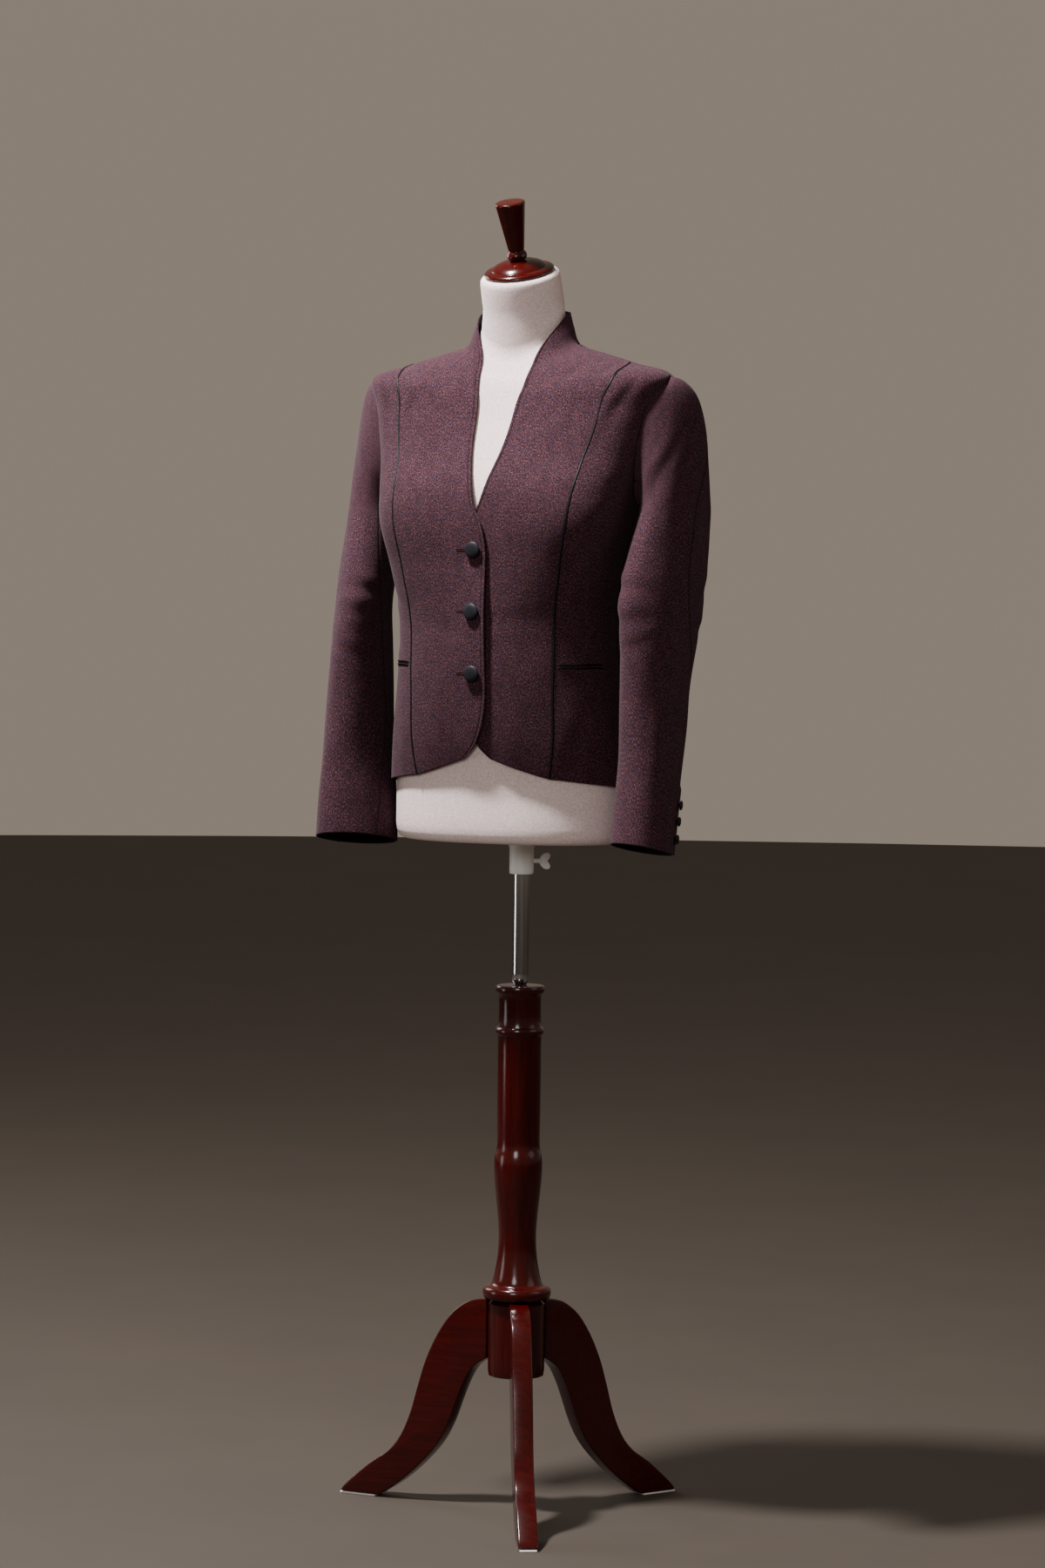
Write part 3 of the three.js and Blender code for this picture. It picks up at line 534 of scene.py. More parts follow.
SIDE = [  # side seam, then the front of the armhole: angle, level
    (90, 0), (90, 0.35), (90, 0.7), (90, 1.05), (90, 1.5), (90, 2.15), (90, 2.85), (90, 3.55),
    (90, 4.3), (90, 5), (90, 5.6), (82, 6), (77.5, 6.8), (77.5, 7.6), (81, 8.35), (90, 9),
]
BACK = [  # side seam, back of the armhole and shoulder: angle, level; level on the centre back seam
    (90, 0, 0), (90, 0.35, 0.35), (90, 0.7, 0.7), (90, 1.05, 1.05), (90, 1.5, 1.5), (90, 2.15, 2.15),
    (90, 2.85, 2.85), (90, 3.55, 3.55), (90, 4.3, 4.3), (90, 5, 5), (90, 5.6, 5.6), (98, 6, 6.2),
    (102.5, 6.8, 7), (102.5, 7.6, 7.8), (99, 8.35, 8.6), (90, 9, 9.4), (90, 10.1, 10.3), (90, 11, 11.2),
    (90, 12, 12),
]
SHOULDER, UNDERARM = 15, 10  # rows of the tables
PER_STATION = 8
SIDES_AND_HANDS = ((-1, "right"), (1, "left"))
CREASES = [  # side, angle, level, half length and half width (mm), turn from upright, depth (mm)
    (1, 70, 8.2, 52, 8, 26, 1.7), (-1, 68, 8.0, 48, 8, 24, 1.3), (1, 74, 6.2, 34, 7, 55, -0.9),
    (-1, 57, 8.7, 44, 7, -18, 1.0), (1, 54, 8.5, 44, 8, -14, 0.8), (-1, 79, 7.6, 22, 7, 8, 1.2),
    (1, 80, 7.4, 22, 7, 12, 1.1), (-1, 74, 6.3, 32, 7, 52, -0.8),
    (1, 70, 3.3, 46, 8, 75, 1.0), (-1, 68, 3.4, 44, 8, 78, 1.0), (1, 78, 2.7, 40, 7, 84, 0.8),
    (-1, 76, 2.6, 38, 8, 86, 0.8), (1, 33, 6.6, 60, 12, 30, 0.7), (-1, 30, 6.4, 58, 12, 28, 0.7),
    (1, 108, 3.2, 52, 9, 80, 1.2), (-1, 112, 3.0, 48, 9, 84, 1.1), (1, 128, 2.7, 50, 10, 88, 0.9),
    (-1, 124, 3.5, 52, 10, 83, 1.0), (1, 112, 6.6, 44, 9, 40, 1.0), (-1, 114, 6.5, 46, 9, 42, 1.0),
    (1, 150, 8.9, 52, 13, 70, 0.8), (-1, 147, 9.0, 52, 13, 66, 0.8), (1, 55, 0.9, 46, 12, 8, 0.8),
    (-1, 58, 0.9, 44, 12, 6, 0.8), (1, 20, 3.0, 50, 10, 80, 0.5), (-1, 22, 2.8, 52, 10, 84, 0.6),
]


def ramp(x):
    t = np.clip(x, 0, 1)
    return t * t * (3 - 2 * t)


def lap_lift(side, x, level):
    """The right front stands off towards its edge and the left front sinks under it."""
    fade = 1 - ramp((level - 5.5) / 1.2)
    if side < 0:
        away = 2.2 * ramp((x - 2) / 16) * ramp((level - 0.8) / 1.2)
        return (4.4 * ramp((x + 40) / 58) + away) * fade * (0.75 + 0.25 * np.sin(level * 2.6))
    return -1.7 * ramp((52 - x) / 34) * fade


def crease(away, normal, flat, up, shape, sway, pitch, bank, step):
    """A trough along a swaying line, with a softer ridge beside it; away is measured from its middle."""
    half_length, half_width, turn, depth = shape
    along = math.cos(math.radians(turn)) * up + math.sin(math.radians(turn)) * flat
    s, t = away @ along, away @ np.cross(normal, along)
    bend = t + sway * np.sin(s / half_length * pitch)
    return -depth * np.exp(-(s / half_length) ** 2) * (
        np.exp(-(bend / half_width) ** 2) - bank * np.exp(-((bend - step * half_width) / half_width) ** 2))


def crease_lift(side, point):
    """Soft uneven troughs and ridges, each along its own line."""
    x, z = point[..., 0], point[..., 2]
    out = 0.22 * (np.sin(x / 17.0 + z / 31.0 + side) * np.sin(z / 43.0 + 1.3 * side)
                  + 0.6 * np.sin(x / 9.0 - z / 23.0 + 2.0))
    for which, angle, level, *shape in CREASES:
        if which == side:
            normal = body_normal(np.array(float(side * angle)), np.array(float(level)))
            flat = unit(np.cross([0, 0, 1.0], normal)) * side
            up = unit(np.cross(normal, flat)) * side
            out += crease(point - body_point(side * angle, level), normal, flat, up, shape, 4, 1.7, 0.6, 1.7)
    return out


def cloth_wall(name, point, normal, inset, uv, painted_shade):
    """A panel's grid of outer points becomes a closed thin shell with rolled edges and a weave map, and carries the
    painted shade laid along its grooves.
    """
    rows, cols = point.shape[:2]
    outer = point.copy()
    line = np.gradient(point, axis=0)
    for j, to, gap in ((0, 1, inset[0]), (cols - 1, cols - 2, inset[1])):
        row = point[:, to] - point[:, j]
        slant = np.linalg.norm(np.cross(unit(row), unit(line[:, j])), axis=-1)
        outer[:, j] += unit(row) * (gap / np.maximum(slant, 0.3))[:, None]
    outer[0] += unit(point[1] - point[0]) * inset[2]
    outer[-1] += unit(point[-2] - point[-1]) * inset[3]
    around = ([(0, j) for j in range(cols)] + [(i, cols - 1) for i in range(1, rows)]
              + [(rows - 1, j) for j in range(cols - 2, -1, -1)] + [(i, 0) for i in range(rows - 2, 0, -1)])
    rim_i, rim_j = np.array(around).T
    rim = outer[rim_i, rim_j]
    inner_i, inner_j = np.clip(rim_i, 1, rows - 2), np.clip(rim_j, 1, cols - 2)
    inwards, down = unit(outer[inner_i, inner_j] - rim) * EDGE_ROUND, normal[rim_i, rim_j]
    outer[rim_i, rim_j] += inwards - down * EDGE_DROP
    middle = rim - down * CLOTH * 0.5
    inner = point - normal * CLOTH
    inner[rim_i, rim_j] = rim + inwards - down * (CLOTH - EDGE_DROP)
    n = rows * cols
    verts = np.concatenate([outer.reshape(-1, 3), inner.reshape(-1, 3), middle])
    quads = grid_faces(rows, cols)
    m = len(around)
    k = np.arange(m)
    outer_rim, inner_rim, middle_rim = rim_i * cols + rim_j, n + rim_i * cols + rim_j, 2 * n + k
    nxt = (k + 1) % m
    sides = np.concatenate([np.stack([outer_rim, middle_rim, middle_rim[nxt], outer_rim[nxt]], -1),
                            np.stack([middle_rim, inner_rim, inner_rim[nxt], middle_rim[nxt]], -1)])
    faces = np.concatenate([quads, quads[:, ::-1] + n, sides])
    i, j = rows // 2, cols // 2
    if np.cross(point[i, j + 1] - point[i, j], point[i + 1, j] - point[i, j]) @ normal[i, j] < 0:
        faces = faces[:, ::-1]
    piece = mesh_piece(name, verts, faces)
    # Inner faces are marked as lining. The second attribute is painted shade that darkens the outer face along the
    # seam and edge grooves.
    for key, values in (("lining", (np.zeros(n), np.ones(n), np.zeros(m))),
                        ("painted_groove_shade", (painted_shade.ravel(), np.zeros(n + m)))):
        piece.data.attributes.new(key, "FLOAT", "POINT").data.foreach_set("value", np.concatenate(values))
    layer = piece.data.uv_layers.new(name="weave")
    flat = np.concatenate([uv.reshape(-1, 2), uv.reshape(-1, 2), uv[rim_i, rim_j]]) / 1000
    loops = np.zeros(len(piece.data.loops), int)
    piece.data.loops.foreach_get("vertex_index", loops)
    layer.data.foreach_set("uv", flat[loops].ravel())
    return piece


def row_places(width, near, far, middle):
    """Fractions across each row: closely spaced at given millimetres from either side, even between."""
    squeeze = np.minimum(1, width / (2.6 * (near[-1] + far[-1])))[:, None]
    low = np.array(near) * squeeze / width[:, None]
    high = 1 - np.array(far)[::-1] * squeeze / width[:, None]
    steps = np.linspace(0, 1, middle + 2)[1:-1]
    return np.concatenate([low, low[:, -1:] + (high[:, :1] - low[:, -1:]) * steps, high], 1)


def cloth_panel(name, side, edge, seam, lap, inset, near, middle):
    """A body panel between two lines of (angle, level); a lap side rises or sinks at the front."""
    coarse = np.linspace(0, 1, 16)[:, None] * (seam - edge)[:, None] + edge[:, None]
    width = np.linalg.norm(np.diff(body_point(side * coarse[..., 0], coarse[..., 1]), axis=1), axis=-1).sum(1)
    u = row_places(width, near, SEAMED, middle)[..., None]
    place = edge[:, None] * (1 - u) + seam[:, None] * u
    angle, level = side * place[..., 0], place[..., 1]
    flat, normal = body_point(angle, level), body_normal(angle, level)
    across_it = np.linalg.norm(np.diff(flat, axis=1, prepend=flat[:, :1]), axis=-1).cumsum(1)
    stiff = 0.9 * np.exp(-(across_it / 14) ** 2) if inset[0] == 0 else 0  # the facing keeps the free edge even
    rise = (lap_lift(side, flat[..., 0], level) if lap else 0) + (1 - stiff) * crease_lift(side, flat)
    along_it = np.linalg.norm(np.diff(flat, axis=0, prepend=flat[:1]), axis=-1).cumsum(0)
    # Seams and the pressed edge line dip in the surface, and they also get painted shade in the colour.
    painted_shade = np.zeros(rise.shape)
    for away, seamed in ((across_it, inset[0] > 0), (across_it[:, -1:] - across_it, inset[1] > 0)):
        if seamed:
            rise = rise - 0.35 * np.exp(-(away / 1.6) ** 2)
            painted_shade += 0.6 * np.exp(-(away / 1.2) ** 2)
        else:
            rise = rise - 0.5 * np.exp(-((away - GROOVE) / 0.8) ** 2) + 0.25 * np.exp(-((away - 2.4) / 1.6) ** 2)
            painted_shade += np.exp(-((away - GROOVE) / 0.9) ** 2)
    uv = np.stack([side * across_it, along_it + 40 * side], -1)
    return cloth_wall(name, flat + normal * rise[..., None], normal, inset, uv, painted_shade), flat


def declare_cut(piece, outer, *rests_on):
    """Works out the flat cut of a panel from its own rows, the widest, the longest and the area, and keeps none of it.
    """
    width = np.linalg.norm(np.diff(outer, axis=1), axis=-1).sum(1).max() / 1000
    length = np.linalg.norm(np.diff(outer, axis=0), axis=-1).sum(0).max() / 1000
    a, b = outer[1:, 1:] - outer[:-1, :-1], outer[1:, :-1] - outer[:-1, 1:]
    area = np.linalg.norm(np.cross(a, b), axis=-1).sum() / 2e6
    area = min(max(area, 0.31 * width * length), width * length)


# A fine twill under a felted nap, with red-brown, lilac and blue-grey flecks, and painted shade along its seams and
# edge lines.
flannel = Paint("plum_flannel", UV_COORDS, Roughness=0.95, Sheen_Weight=0.05, Sheen_Roughness=0.5,
                Sheen_Tint=(0.75, 0.55, 0.62, 1), Specular_IOR_Level=0.12)
fibre, patchy, fleck, yarn, cloud = (
    flannel.noise(1.0, detail, (across, along, 1), (start, start, 0), Roughness=0.6)
    for detail, across, along, start in ((3.0, 620, 430, 0.0), (4.0, 260, 150, 3.1), (2.0, 420, 330, 9.4),
                                         (2.0, 300, 24, 1.7), (4.0, 75, 42, 5.3)))
warm = flannel.steps(fibre, (0.33, (0.007, 0.002, 0.003)), (0.46, (0.033, 0.010, 0.013)),
                     (0.56, (0.061, 0.021, 0.026)), (0.68, (0.140, 0.062, 0.069)))
cool = flannel.steps(fibre, (0.33, (0.005, 0.002, 0.005)), (0.46, (0.022, 0.009, 0.016)),
                     (0.56, (0.043, 0.020, 0.035)), (0.68, (0.102, 0.060, 0.089)))
heather = flannel.mix(flannel.switch(patchy, 0.42, 0.58), warm, cool)
heather = flannel.mix(flannel.switch(fleck, 0.60, 0.68) * 0.6, heather, (0.150, 0.042, 0.030))
worn = flannel.mix(flannel.switch(cloud, 0.38, 0.66) * 0.42 + yarn * 0.25, heather, (0.40, 0.38, 0.48), "MULTIPLY")
# Painted shade: the groove attribute darkens the face along seams, edge lines and cuff turn-ups.
painted_groove_shade, lining = (flannel.node("ShaderNodeAttribute", {"attribute_name": key}, 2) for key in ("painted_groove_shade", "lining"))
face = flannel.mix(painted_groove_shade, worn, (0.30, 0.26, 0.30), "MULTIPLY")
flannel.feed(Base_Color=flannel.mix(lining, face, (0.010, 0.008, 0.012)), Roughness=0.88 + fibre * 0.1,
             Normal=flannel.bump(0.30, 0.0005, fibre + yarn * 0.5 + fleck * 0.5))

satin = Paint("black_satin", Roughness=0.42, Specular_IOR_Level=0.12)
thread = satin.noise(1.0, 3.0, (900, 900, 300))
satin.feed(Base_Color=satin.mix(thread, (0.0008, 0.0006, 0.001), (0.004, 0.0035, 0.005)),
           Roughness=0.36 + thread * 0.2, Normal=satin.bump(0.2, 0.0003, thread))

EDGE = [0, 0.7, 1.5, 2.3, 3.1, 3.8, 4.3, 4.8, 5.4, 6.2, 8]
SEAMED = [0, 0.7, 1.4, 2.2, 3.2, 5]
places = np.arange((len(FRONT) - 1) * PER_STATION + 1) / PER_STATION
back_places = np.arange((len(BACK) - 1) * PER_STATION + 1) / PER_STATION
short, lower = places[places <= SHOULDER], back_places < SHOULDER
edge_line, seam_line = row_at(FRONT, places)[:, :2], row_at(FRONT, places, SHOULDER)[:, 2:]
princess_line, rim_line = row_at(FRONT, short, SHOULDER)[:, 2:], row_at(SIDE, short, UNDERARM)
back_rim = np.where(lower[:, None], row_at(BACK, back_places, UNDERARM), row_at(BACK, back_places, SHOULDER))[:, :2]
middle_line = np.stack([np.full(len(back_places), 180.0), row_at(BACK, back_places)[:, 2]], -1)
for side, hand in SIDES_AND_HANDS:
    for part, first, second, lap, inset, near, middle in (
            ("front", edge_line, seam_line, True, (0, 2.2, 0, 0), EDGE, 34),
            ("side_front", princess_line, rim_line, False, (2.2, 0.15, 0, 0.15), SEAMED, 26),
            ("back", back_rim, middle_line, False, (0.15, 0.15, 0, 0.15), SEAMED, 34)):
        panel, outer = cloth_panel(f"{hand}_{part}_panel", side, first, second, lap, inset, near, middle)
        finish_piece(panel, f"{hand}_{part}_panel", "form", flannel, "flannel", f"{hand}_{part}", smooth=50)
        declare_cut(panel, outer, "padded_torso")

    # Satin piping: a narrow folded strip caught in the princess seam.
    point = body_point(side * princess_line[:, 0], princess_line[:, 1])
    normal = body_normal(side * princess_line[:, 0], princess_line[:, 1])
    over = unit(np.cross(unit(np.gradient(point, axis=0)), normal))
    cord = round_cord(point - normal * 0.25, over, normal, 1.55, 1.0, 12)[:-2]
    piping = face_outwards(mesh_piece(f"{hand}_princess_piping", *closed_tube(cord)))
    finish_piece(piping, f"{hand}_princess_piping", "form", satin, "satin", f"{hand}_piping", smooth=60)

# ---- Back collar ------------------------------------------------------------
# The back of the stand collar, in the same flannel. It is sewn to the back neck and
# to the fronts' grown-on halves.
COLLAR_SEAM, COLLAR_EDGE = 12, 13.8  # levels
angle, level = np.meshgrid(np.linspace(90, 270, 73), np.linspace(COLLAR_SEAM, COLLAR_EDGE, 20))
flat, normal = body_point(angle, level), body_normal(angle, level)
rise = (-0.35 * np.exp(-((level - COLLAR_SEAM) * 20 / 1.6) ** 2)
        - 0.3 * np.exp(-(((COLLAR_EDGE - level) * 22 - GROOVE) / 0.9) ** 2))
uv = np.stack([angle * 1.1, level * 22], -1)
collar = cloth_wall("back_collar_stand", flat + normal * rise[..., None], normal, (0.15, 0.15, 0.3, 0), uv, 0 * rise)
finish_piece(collar, "back_collar_stand", "form", flannel, "flannel", "back_collar", smooth=50)
declare_cut(collar, flat, "padded_torso")

# ---- Sleeves ----------------------------------------------------------------
# Two-piece set-in sleeves in the same flannel. The head is eased over a wadding roll,
# the top sleeve meets the under sleeve along the hind arm and fore arm seams.
SLEEVE = np.array([  # height, middle x, y, half depth, half width, twist, tilt, hind seam
    [1285, 211, -4, 69, 34, 7, 0, 5],
    [1240, 211, -20.5, 71, 34.5, 13, 2, 0],
    [1200, 210.3, -35, 72, 35, 16, 3, -6],
    [1163, 209.8, -44, 72, 35, 15.5, 4, -13],
    [1120, 209, -48.5, 69, 36, 10, 6, -22],
    [1070, 207.5, -53.5, 64, 37, 4.5, 8, -34],
    [1021, 207, -57, 61, 38.5, 0, 9, -33],
    [960, 205.5, -62.5, 60, 39, -12, 9, -18],
    [910, 203, -69.5, 60, 39.5, -19, 8.5, -8],
    [863.5, 200.5, -75, 60, 39.5, -24, 8, -3],
], float)
HOLE = np.array([186.0, -12, 1378])
HEAD, CUFF = 6, 15
SLEEVE_CREASES = [  # side, degrees round, place down, half length and width (mm), turn, depth (mm)
    (1, 60, 3.6, 42, 8, 25, 1.4), (-1, 58, 3.5, 40, 8, 28, 1.2), (1, 92, 4.6, 46, 10, 20, 1.3),
    (-1, 88, 4.5, 44, 9, 22, 1.2), (1, 30, 4.7, 60, 12, 12, 1.0), (-1, 33, 4.9, 58, 12, 10, 1.0),
    (1, 118, 8.3, 36, 8, 70, 1.6), (-1, 115, 8.5, 34, 8, 66, 1.5), (1, 100, 9.4, 40, 9, 78, 1.5),
    (-1, 104, 9.3, 40, 9, 74, 1.4), (1, 85, 10.2, 34, 8, 60, 1.1), (-1, 80, 10.4, 34, 8, 58, 1.0),
    (1, 300, 8.2, 44, 10, 64, 1.2), (-1, 305, 8.4, 42, 10, 60, 1.2), (1, 285, 9.5, 40, 9, 82, 1.3),
    (-1, 288, 9.7, 40, 9, 80, 1.2), (1, 325, 4.4, 46, 10, -30, 1.2), (-1, 322, 4.3, 46, 10, -32, 1.2),
    (1, 200, 6.8, 40, 9, 40, 1.2), (-1, 204, 6.6, 40, 9, 42, 1.2), (1, 20, 12.0, 70, 14, 6, 0.9),
    (-1, 24, 11.8, 66, 14, 8, 0.9), (1, 60, 13.2, 50, 12, -20, 0.8), (-1, 56, 13.0, 50, 12, -18, 0.8),
]


def armhole_point(around):
    up = 180 - np.abs(180 - np.mod(around, 360.0))
    rim = row_at(SIDE[UNDERARM:], 5 * (1 - up / 180))
    return body_point(np.where(np.mod(around, 360.0) <= 180, rim[..., 0], 180 - rim[..., 0]), rim[..., 1])


def tube_point(around, place):
    z, x, y, p, q, twist, tilt, _ = np.moveaxis(row_at(SLEEVE, place), -1, 0)
    c, s = q * np.cos(np.radians(around)), -p * np.sin(np.radians(around))
    turn = np.radians(twist)
    return np.stack([x + c * np.cos(turn) + s * np.sin(turn), y - c * np.sin(turn) + s * np.cos(turn),
                     z - np.tan(np.radians(tilt)) * s * np.cos(turn) - 0.0067 * np.maximum(-twist, 0) * c], -1)


def sleeve_point(around, down):
    """A point of the left sleeve: degrees from its outside round its front, and a place down it."""
    around, down = np.broadcast_arrays(np.asarray(around, float) % 360, np.asarray(down, float))
    hole = armhole_point(around)
    soft = sum(armhole_point(around + turn) * share
               for turn, share in ((-24, 1), (-12, 2), (0, 3), (12, 2), (24, 1))) / 9
    away = np.linalg.norm(hole - HOLE, axis=-1)
    tuck = (1.9 + 1.9 * ramp(-4 * np.sin(np.radians(around)))) / away
    hole = hole + (HOLE - hole) * tuck[..., None] - [1.2, 0, 0]
    soft = soft + (HOLE - soft) * tuck[..., None] - [1.2, 0, 0]
    end = tube_point(around, 0.0)
    reach = np.linalg.norm(hole - end, axis=-1)
    rise = np.maximum(np.cos(np.radians(around)), 0)
    full = np.exp(-(((around + 195) % 360 - 180) / 29) ** 2)  # the head is fuller behind its top
    out = unit(np.stack([np.ones_like(full), 0.45 * full, 0.6 * full - 0.2 * rise], -1))
    out = out * np.minimum(0.5 * reach, 16 + 7 * rise + 30 * full)[..., None]
    back = unit(end - tube_point(around, 0.02)) * ((0.36 + 0.08 * full) * reach)[..., None]
    f = np.clip(down / HEAD, 0, 1)[..., None]
    g = 1 - f
    head = hole * g ** 3 + (soft + out) * 3 * g * g * f + (end + back) * 3 * g * f * f + end * f ** 3
    return np.where(down[..., None] >= HEAD, tube_point(around, np.maximum(down - HEAD, 0)), head)


def sleeve_normal(around, down):
    round_it = sleeve_point(around + 1.0, down) - sleeve_point(around - 1.0, down)
    along = sleeve_point(around, np.minimum(down + 0.05, CUFF)) - sleeve_point(around, np.maximum(down - 0.05, 0))
    return unit(np.cross(round_it, along))


def hind_seam(down):
    return np.where(down < HEAD, -60 + 65 * ramp(down / HEAD), row_at(SLEEVE, np.maximum(down - HEAD, 0))[..., 7])


def sleeve_creases(side, point):
    x, y, z = np.moveaxis(point, -1, 0)
    out = 0.28 * (np.sin(y / 15.0 + z / 37.0 + side) + 0.6 * np.sin(y / 8.0 - z / 21.0 + x / 13.0))
    for which, around, place, *shape in SLEEVE_CREASES:
        if which == side:
            away = point - sleeve_point(around, place)
            normal = sleeve_normal(np.array(float(around)), np.array(float(place)))
            flat = unit(np.cross([0, 0, 1.0], normal))
            near = np.exp(-((away @ normal) / 30) ** 2)  # not on the sleeve's far side
            out += near * crease(away, normal, flat, np.cross(normal, flat), shape, 5, 1.6, 0.65, 1.8)
    return out


downs = np.concatenate([np.arange(0, 6, 0.1), np.arange(6, 13, 0.14), np.arange(13, 14.96, 0.06), [14.97, CUFF]])
for side, hand in SIDES_AND_HANDS:
    fore_seam = 128 + 54 * ramp((downs - HEAD) / 7)
    for part, start, end, middle in (("top", hind_seam(downs), fore_seam, 60),
                                     ("under", fore_seam, hind_seam(downs) + 360, 70)):
        vent = ramp((downs - 13.15) / 0.16)
        if part == "top":
            start = start - 14 * vent
        coarse = sleeve_point(start[:, None] + (end - start)[:, None] * np.linspace(0, 1, 24), downs[:, None])
        width = np.linalg.norm(np.diff(coarse, axis=1), axis=-1).sum(1)
        u = row_places(width, SEAMED + [7, 9.5], SEAMED + [7], middle)
        around = start[:, None] + (end - start)[:, None] * u
        away = u * width[:, None]
        notch = 0.13 * ramp((downs[:, None] - 14.5) / 0.5)  # the cuff's corners stand open at the vent
        open_side = 1 - ramp((away - 7) / 2) if part == "top" else ramp((away - width[:, None] + 3) / 2)
        down = downs[:, None] - notch * open_side
        point, normal = sleeve_point(around, down), sleeve_normal(around, down)
        rise = sleeve_creases(side, point) * ramp(downs[:, None] / 1.5)
        seam_dip = 0.45 * (np.exp(-(away / 1.6) ** 2) * (1 - vent[:, None])
                           + np.exp(-((width[:, None] - away) / 1.6) ** 2)
                           * (1 if part == "top" else 1 - 0.5 * vent[:, None]))
        turn_up = np.exp(-((CUFF - downs[:, None]) * 46 - 5) ** 2 / 1.2)
        rise = rise - seam_dip - 0.3 * turn_up
        if part == "top":
            rise = rise + 2.15 * (1 - ramp((away - 12) / 14)) * vent[:, None]
        uv = np.stack([side * (away + (0 if part == "top" else 150)), -(down * 42) + 70 * side], -1)
        skin = point + normal * rise[..., None]
        mirror = np.array([side, 1, 1])
        name = f"{hand}_{part}_sleeve"
        # The seam dips and the cuff's turn-up are also painted in as shade.
        piece = cloth_wall(f"{name}_cloth", skin * mirror, normal * mirror, (0.15, 0.15, 0, 0), uv,
                           1.3 * seam_dip + 0.5 * turn_up)
        finish_piece(piece, f"{name}_cloth", "form", flannel, "flannel", name, smooth=50)
        declare_cut(piece, point * mirror, f"{hand}_side_front_panel", f"{hand}_back_panel")

# ---- Pockets ----------------------------------------------------------------
# Two thin satin jets lie lip to lip along each pocket mouth, and run from the
# princess seam towards the side.
t = np.linspace(0, 1, 41)
taper = np.minimum(1, np.minimum(t, 1 - t) * 14 + 0.25)[:, None]
for side, hand in SIDES_AND_HANDS:
    verts, faces = [], []
    for jet_level in (2.202, 2.256):
        angle, level = side * (49.6 + 26.4 * t), jet_level + 0.004 * np.sin(t * 9 + side)
        point, normal = body_point(angle, level), body_normal(angle, level)
        over = np.cross(normal, unit(np.gradient(point, axis=0)))
        point = point + normal * (crease_lift(side, point) + 0.35)[:, None]
        jet, jet_faces = closed_tube(round_cord(point, over, normal, 1.1 * taper, 0.75 * taper, 10))
        faces += [[i + len(verts) for i in face] for face in jet_faces]
        verts += jet.tolist()
    jets = face_outwards(mesh_piece(f"{hand}_pocket_jets", verts, faces))
    finish_piece(jets, f"{hand}_pocket_jets", "form", satin, "satin", f"{hand}_pocket_welt", smooth=60)

# ---- Buttons ----------------------------------------------------------------
# Metal shells covered in black satin, sewn on by a short shank. Three close the
# front, and three smaller ones sit on the vent of each cuff.
covered = Paint("covered_button", Roughness=0.5, Specular_IOR_Level=0.16)
warp, weft = (covered.node("ShaderNodeTexWave", {"wave_type": "BANDS", "bands_direction": axis}, Vector=covered.where,
                           Scale=420.0, Distortion=0.6, Detail=1.0) for axis in "ZX")
dust = covered.noise(700.0, 3.0)
covered.feed(Base_Color=covered.mix(dust, (0.003, 0.003, 0.0045), (0.012, 0.011, 0.015)),
             Roughness=0.42 + dust * 0.2, Normal=covered.bump(0.25, 0.0002, warp * 0.5 + weft * 0.5 + dust * 0.4))


def covered_button(name, node, radius, thick, shank, point, normal):
    """A domed covered button standing on its shank at a point of the cloth."""
    r, h = radius, thick
    profile = [(0, -shank), (r * 0.28, -shank), (r * 0.28, 0.05 * h), (r * 0.75, 0.03 * h), (r * 0.95, 0.13 * h),
               (r, 0.34 * h), (r * 0.97, 0.55 * h), (r * 0.8, 0.8 * h), (r * 0.45, 0.96 * h), (0, h)]
    piece = turned(rounded(profile), 48)
    piece.rotation_euler = Vector(normal).to_track_quat("Z", "Y").to_euler()
    piece.location = AXIS + Vector(point) / 1000
    finish_piece(piece, name, "form", covered, "covered_button", node, smooth=60)


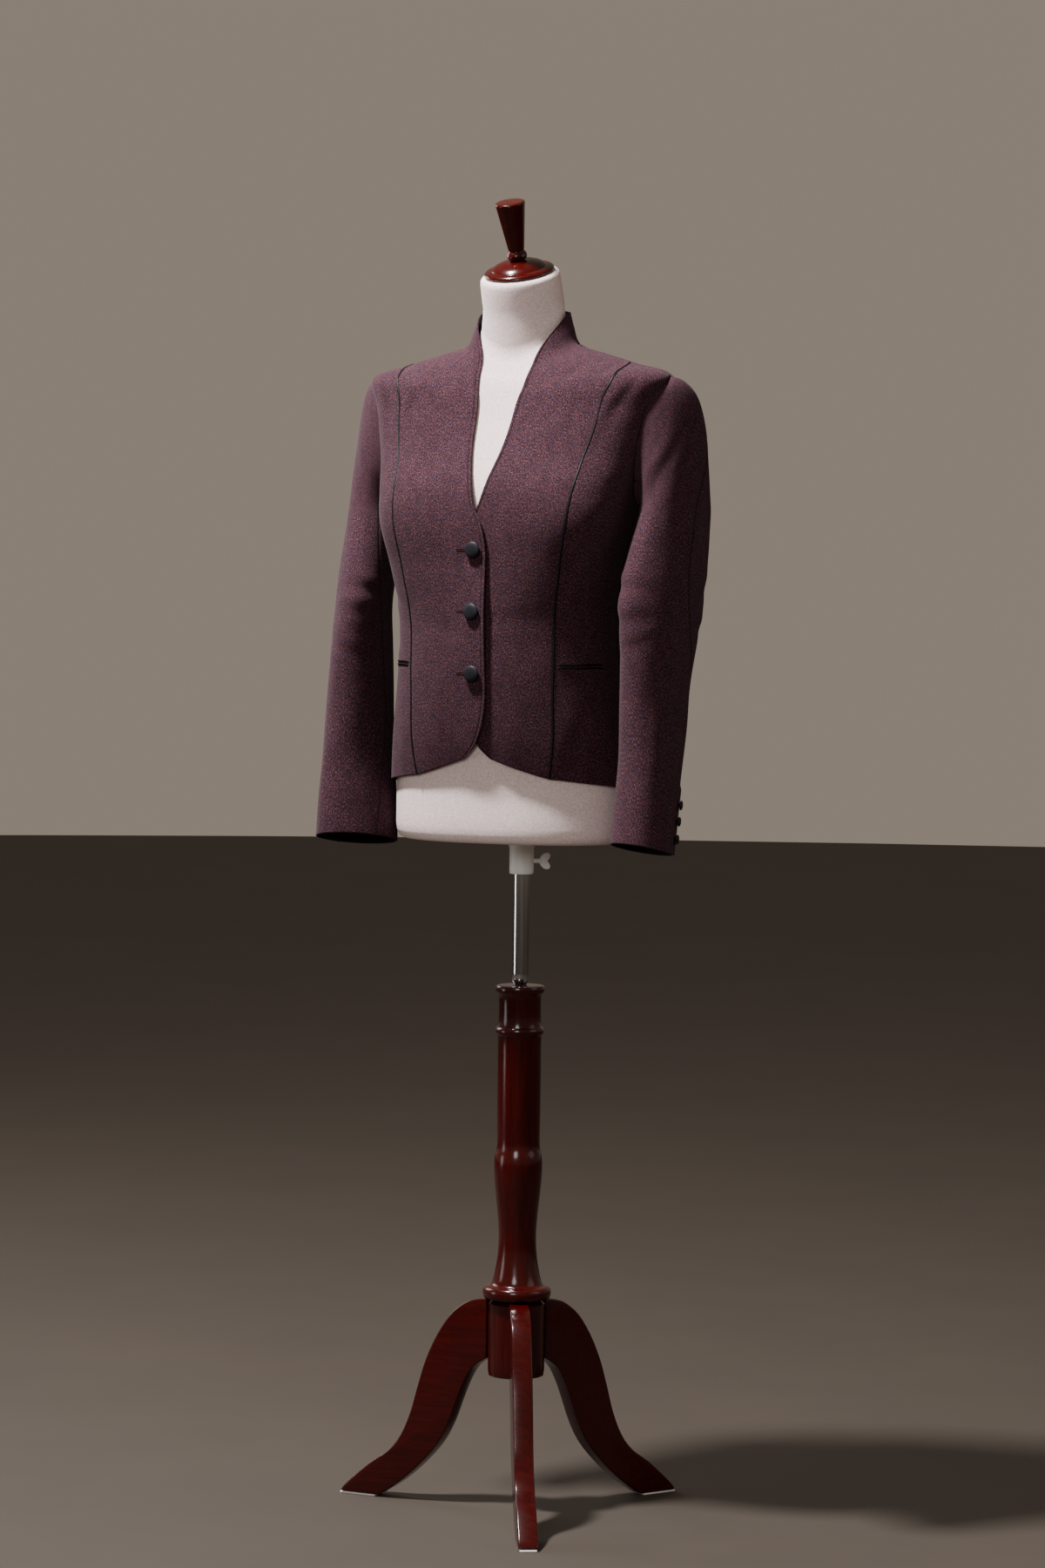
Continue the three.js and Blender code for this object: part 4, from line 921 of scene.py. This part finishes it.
thread = Paint("wine_thread", Roughness=0.8, Specular_IOR_Level=0.15)
strands = thread.noise(1.0, 2.0, (2600, 900, 900))
thread.feed(Base_Color=thread.mix(strands, (0.010, 0.002, 0.003), (0.032, 0.006, 0.010)),
            Normal=thread.bump(0.5, 0.0003, strands))
HOLE_STEPS, HOLE_SIDES = 72, 8
fine_levels = np.arange(0, 6, 0.01)
for number, height in enumerate((1238, 1160, 1082), 1):
    level = np.interp(height, row_at(LEVELS, fine_levels)[:, 0], fine_levels)
    slope = (lap_lift(-1, 10.0, level) - lap_lift(-1, -10.0, level)) / 20
    normal = unit(body_normal(np.array(0.0), np.array(level)) + np.array([-slope, 0, 0]))
    seat = body_point(0.0, level) + normal * (lap_lift(-1, 0.0, level) + 1.1)
    covered_button(f"front_button_dome_{number}", f"front_button_{number}", 10.8, 5.4, 1.0, seat, normal)
    # the worked buttonhole: a thread-covered slot that runs from under the button
    t = np.linspace(0, 2 * np.pi, HOLE_STEPS, endpoint=False)
    along_hole = 8.75 * np.sign(np.cos(t)) * np.abs(np.cos(t)) ** 0.55 - 15.5
    across_hole = 1.15 * np.sin(t)
    angle = np.degrees(np.arctan2(along_hole, 118.0))
    level_t = level + across_hole / 68.0
    path, out = body_point(angle, level_t), body_normal(angle, level_t)
    path = path + out * (lap_lift(-1, path[:, 0], level_t) + crease_lift(-1, path) + 0.15)[:, None]
    over = np.cross(out, unit(np.roll(path, -1, 0) - np.roll(path, 1, 0)))
    twist = 0.12 * np.sin(np.arange(HOLE_STEPS) * 2.1)[:, None]
    ring = round_cord(path, over, out, 0.6 + twist, 0.45 + twist, HOLE_SIDES)
    i, j = np.meshgrid(np.arange(HOLE_STEPS), np.arange(HOLE_SIDES), indexing="ij")
    i, j, i_next, j_next = i * HOLE_SIDES, j, (i + 1) % HOLE_STEPS * HOLE_SIDES, (j + 1) % HOLE_SIDES
    faces = np.stack([i + j, i + j_next, i_next + j_next, i_next + j], -1)
    hole = face_outwards(mesh_piece(f"buttonhole_{number}", ring.reshape(-1, 3), faces.reshape(-1, 4)))
    finish_piece(hole, f"buttonhole_{number}", "form", thread, "satin")

for side, hand in SIDES_AND_HANDS:
    for number, up in enumerate((22, 41, 60), 1):
        down = CUFF - up / 46
        around = float(hind_seam(np.array(down))) + 10
        normal = sleeve_normal(np.array(around), np.array(down))
        mirror = np.array([side, 1, 1])
        seat = sleeve_point(around, down) + normal * 2.7
        covered_button(f"{hand}_cuff_dome_{number}", f"{hand}_cuff_button_{number}", 6.2, 4.0, 1.6, seat * mirror,
                       normal * mirror)
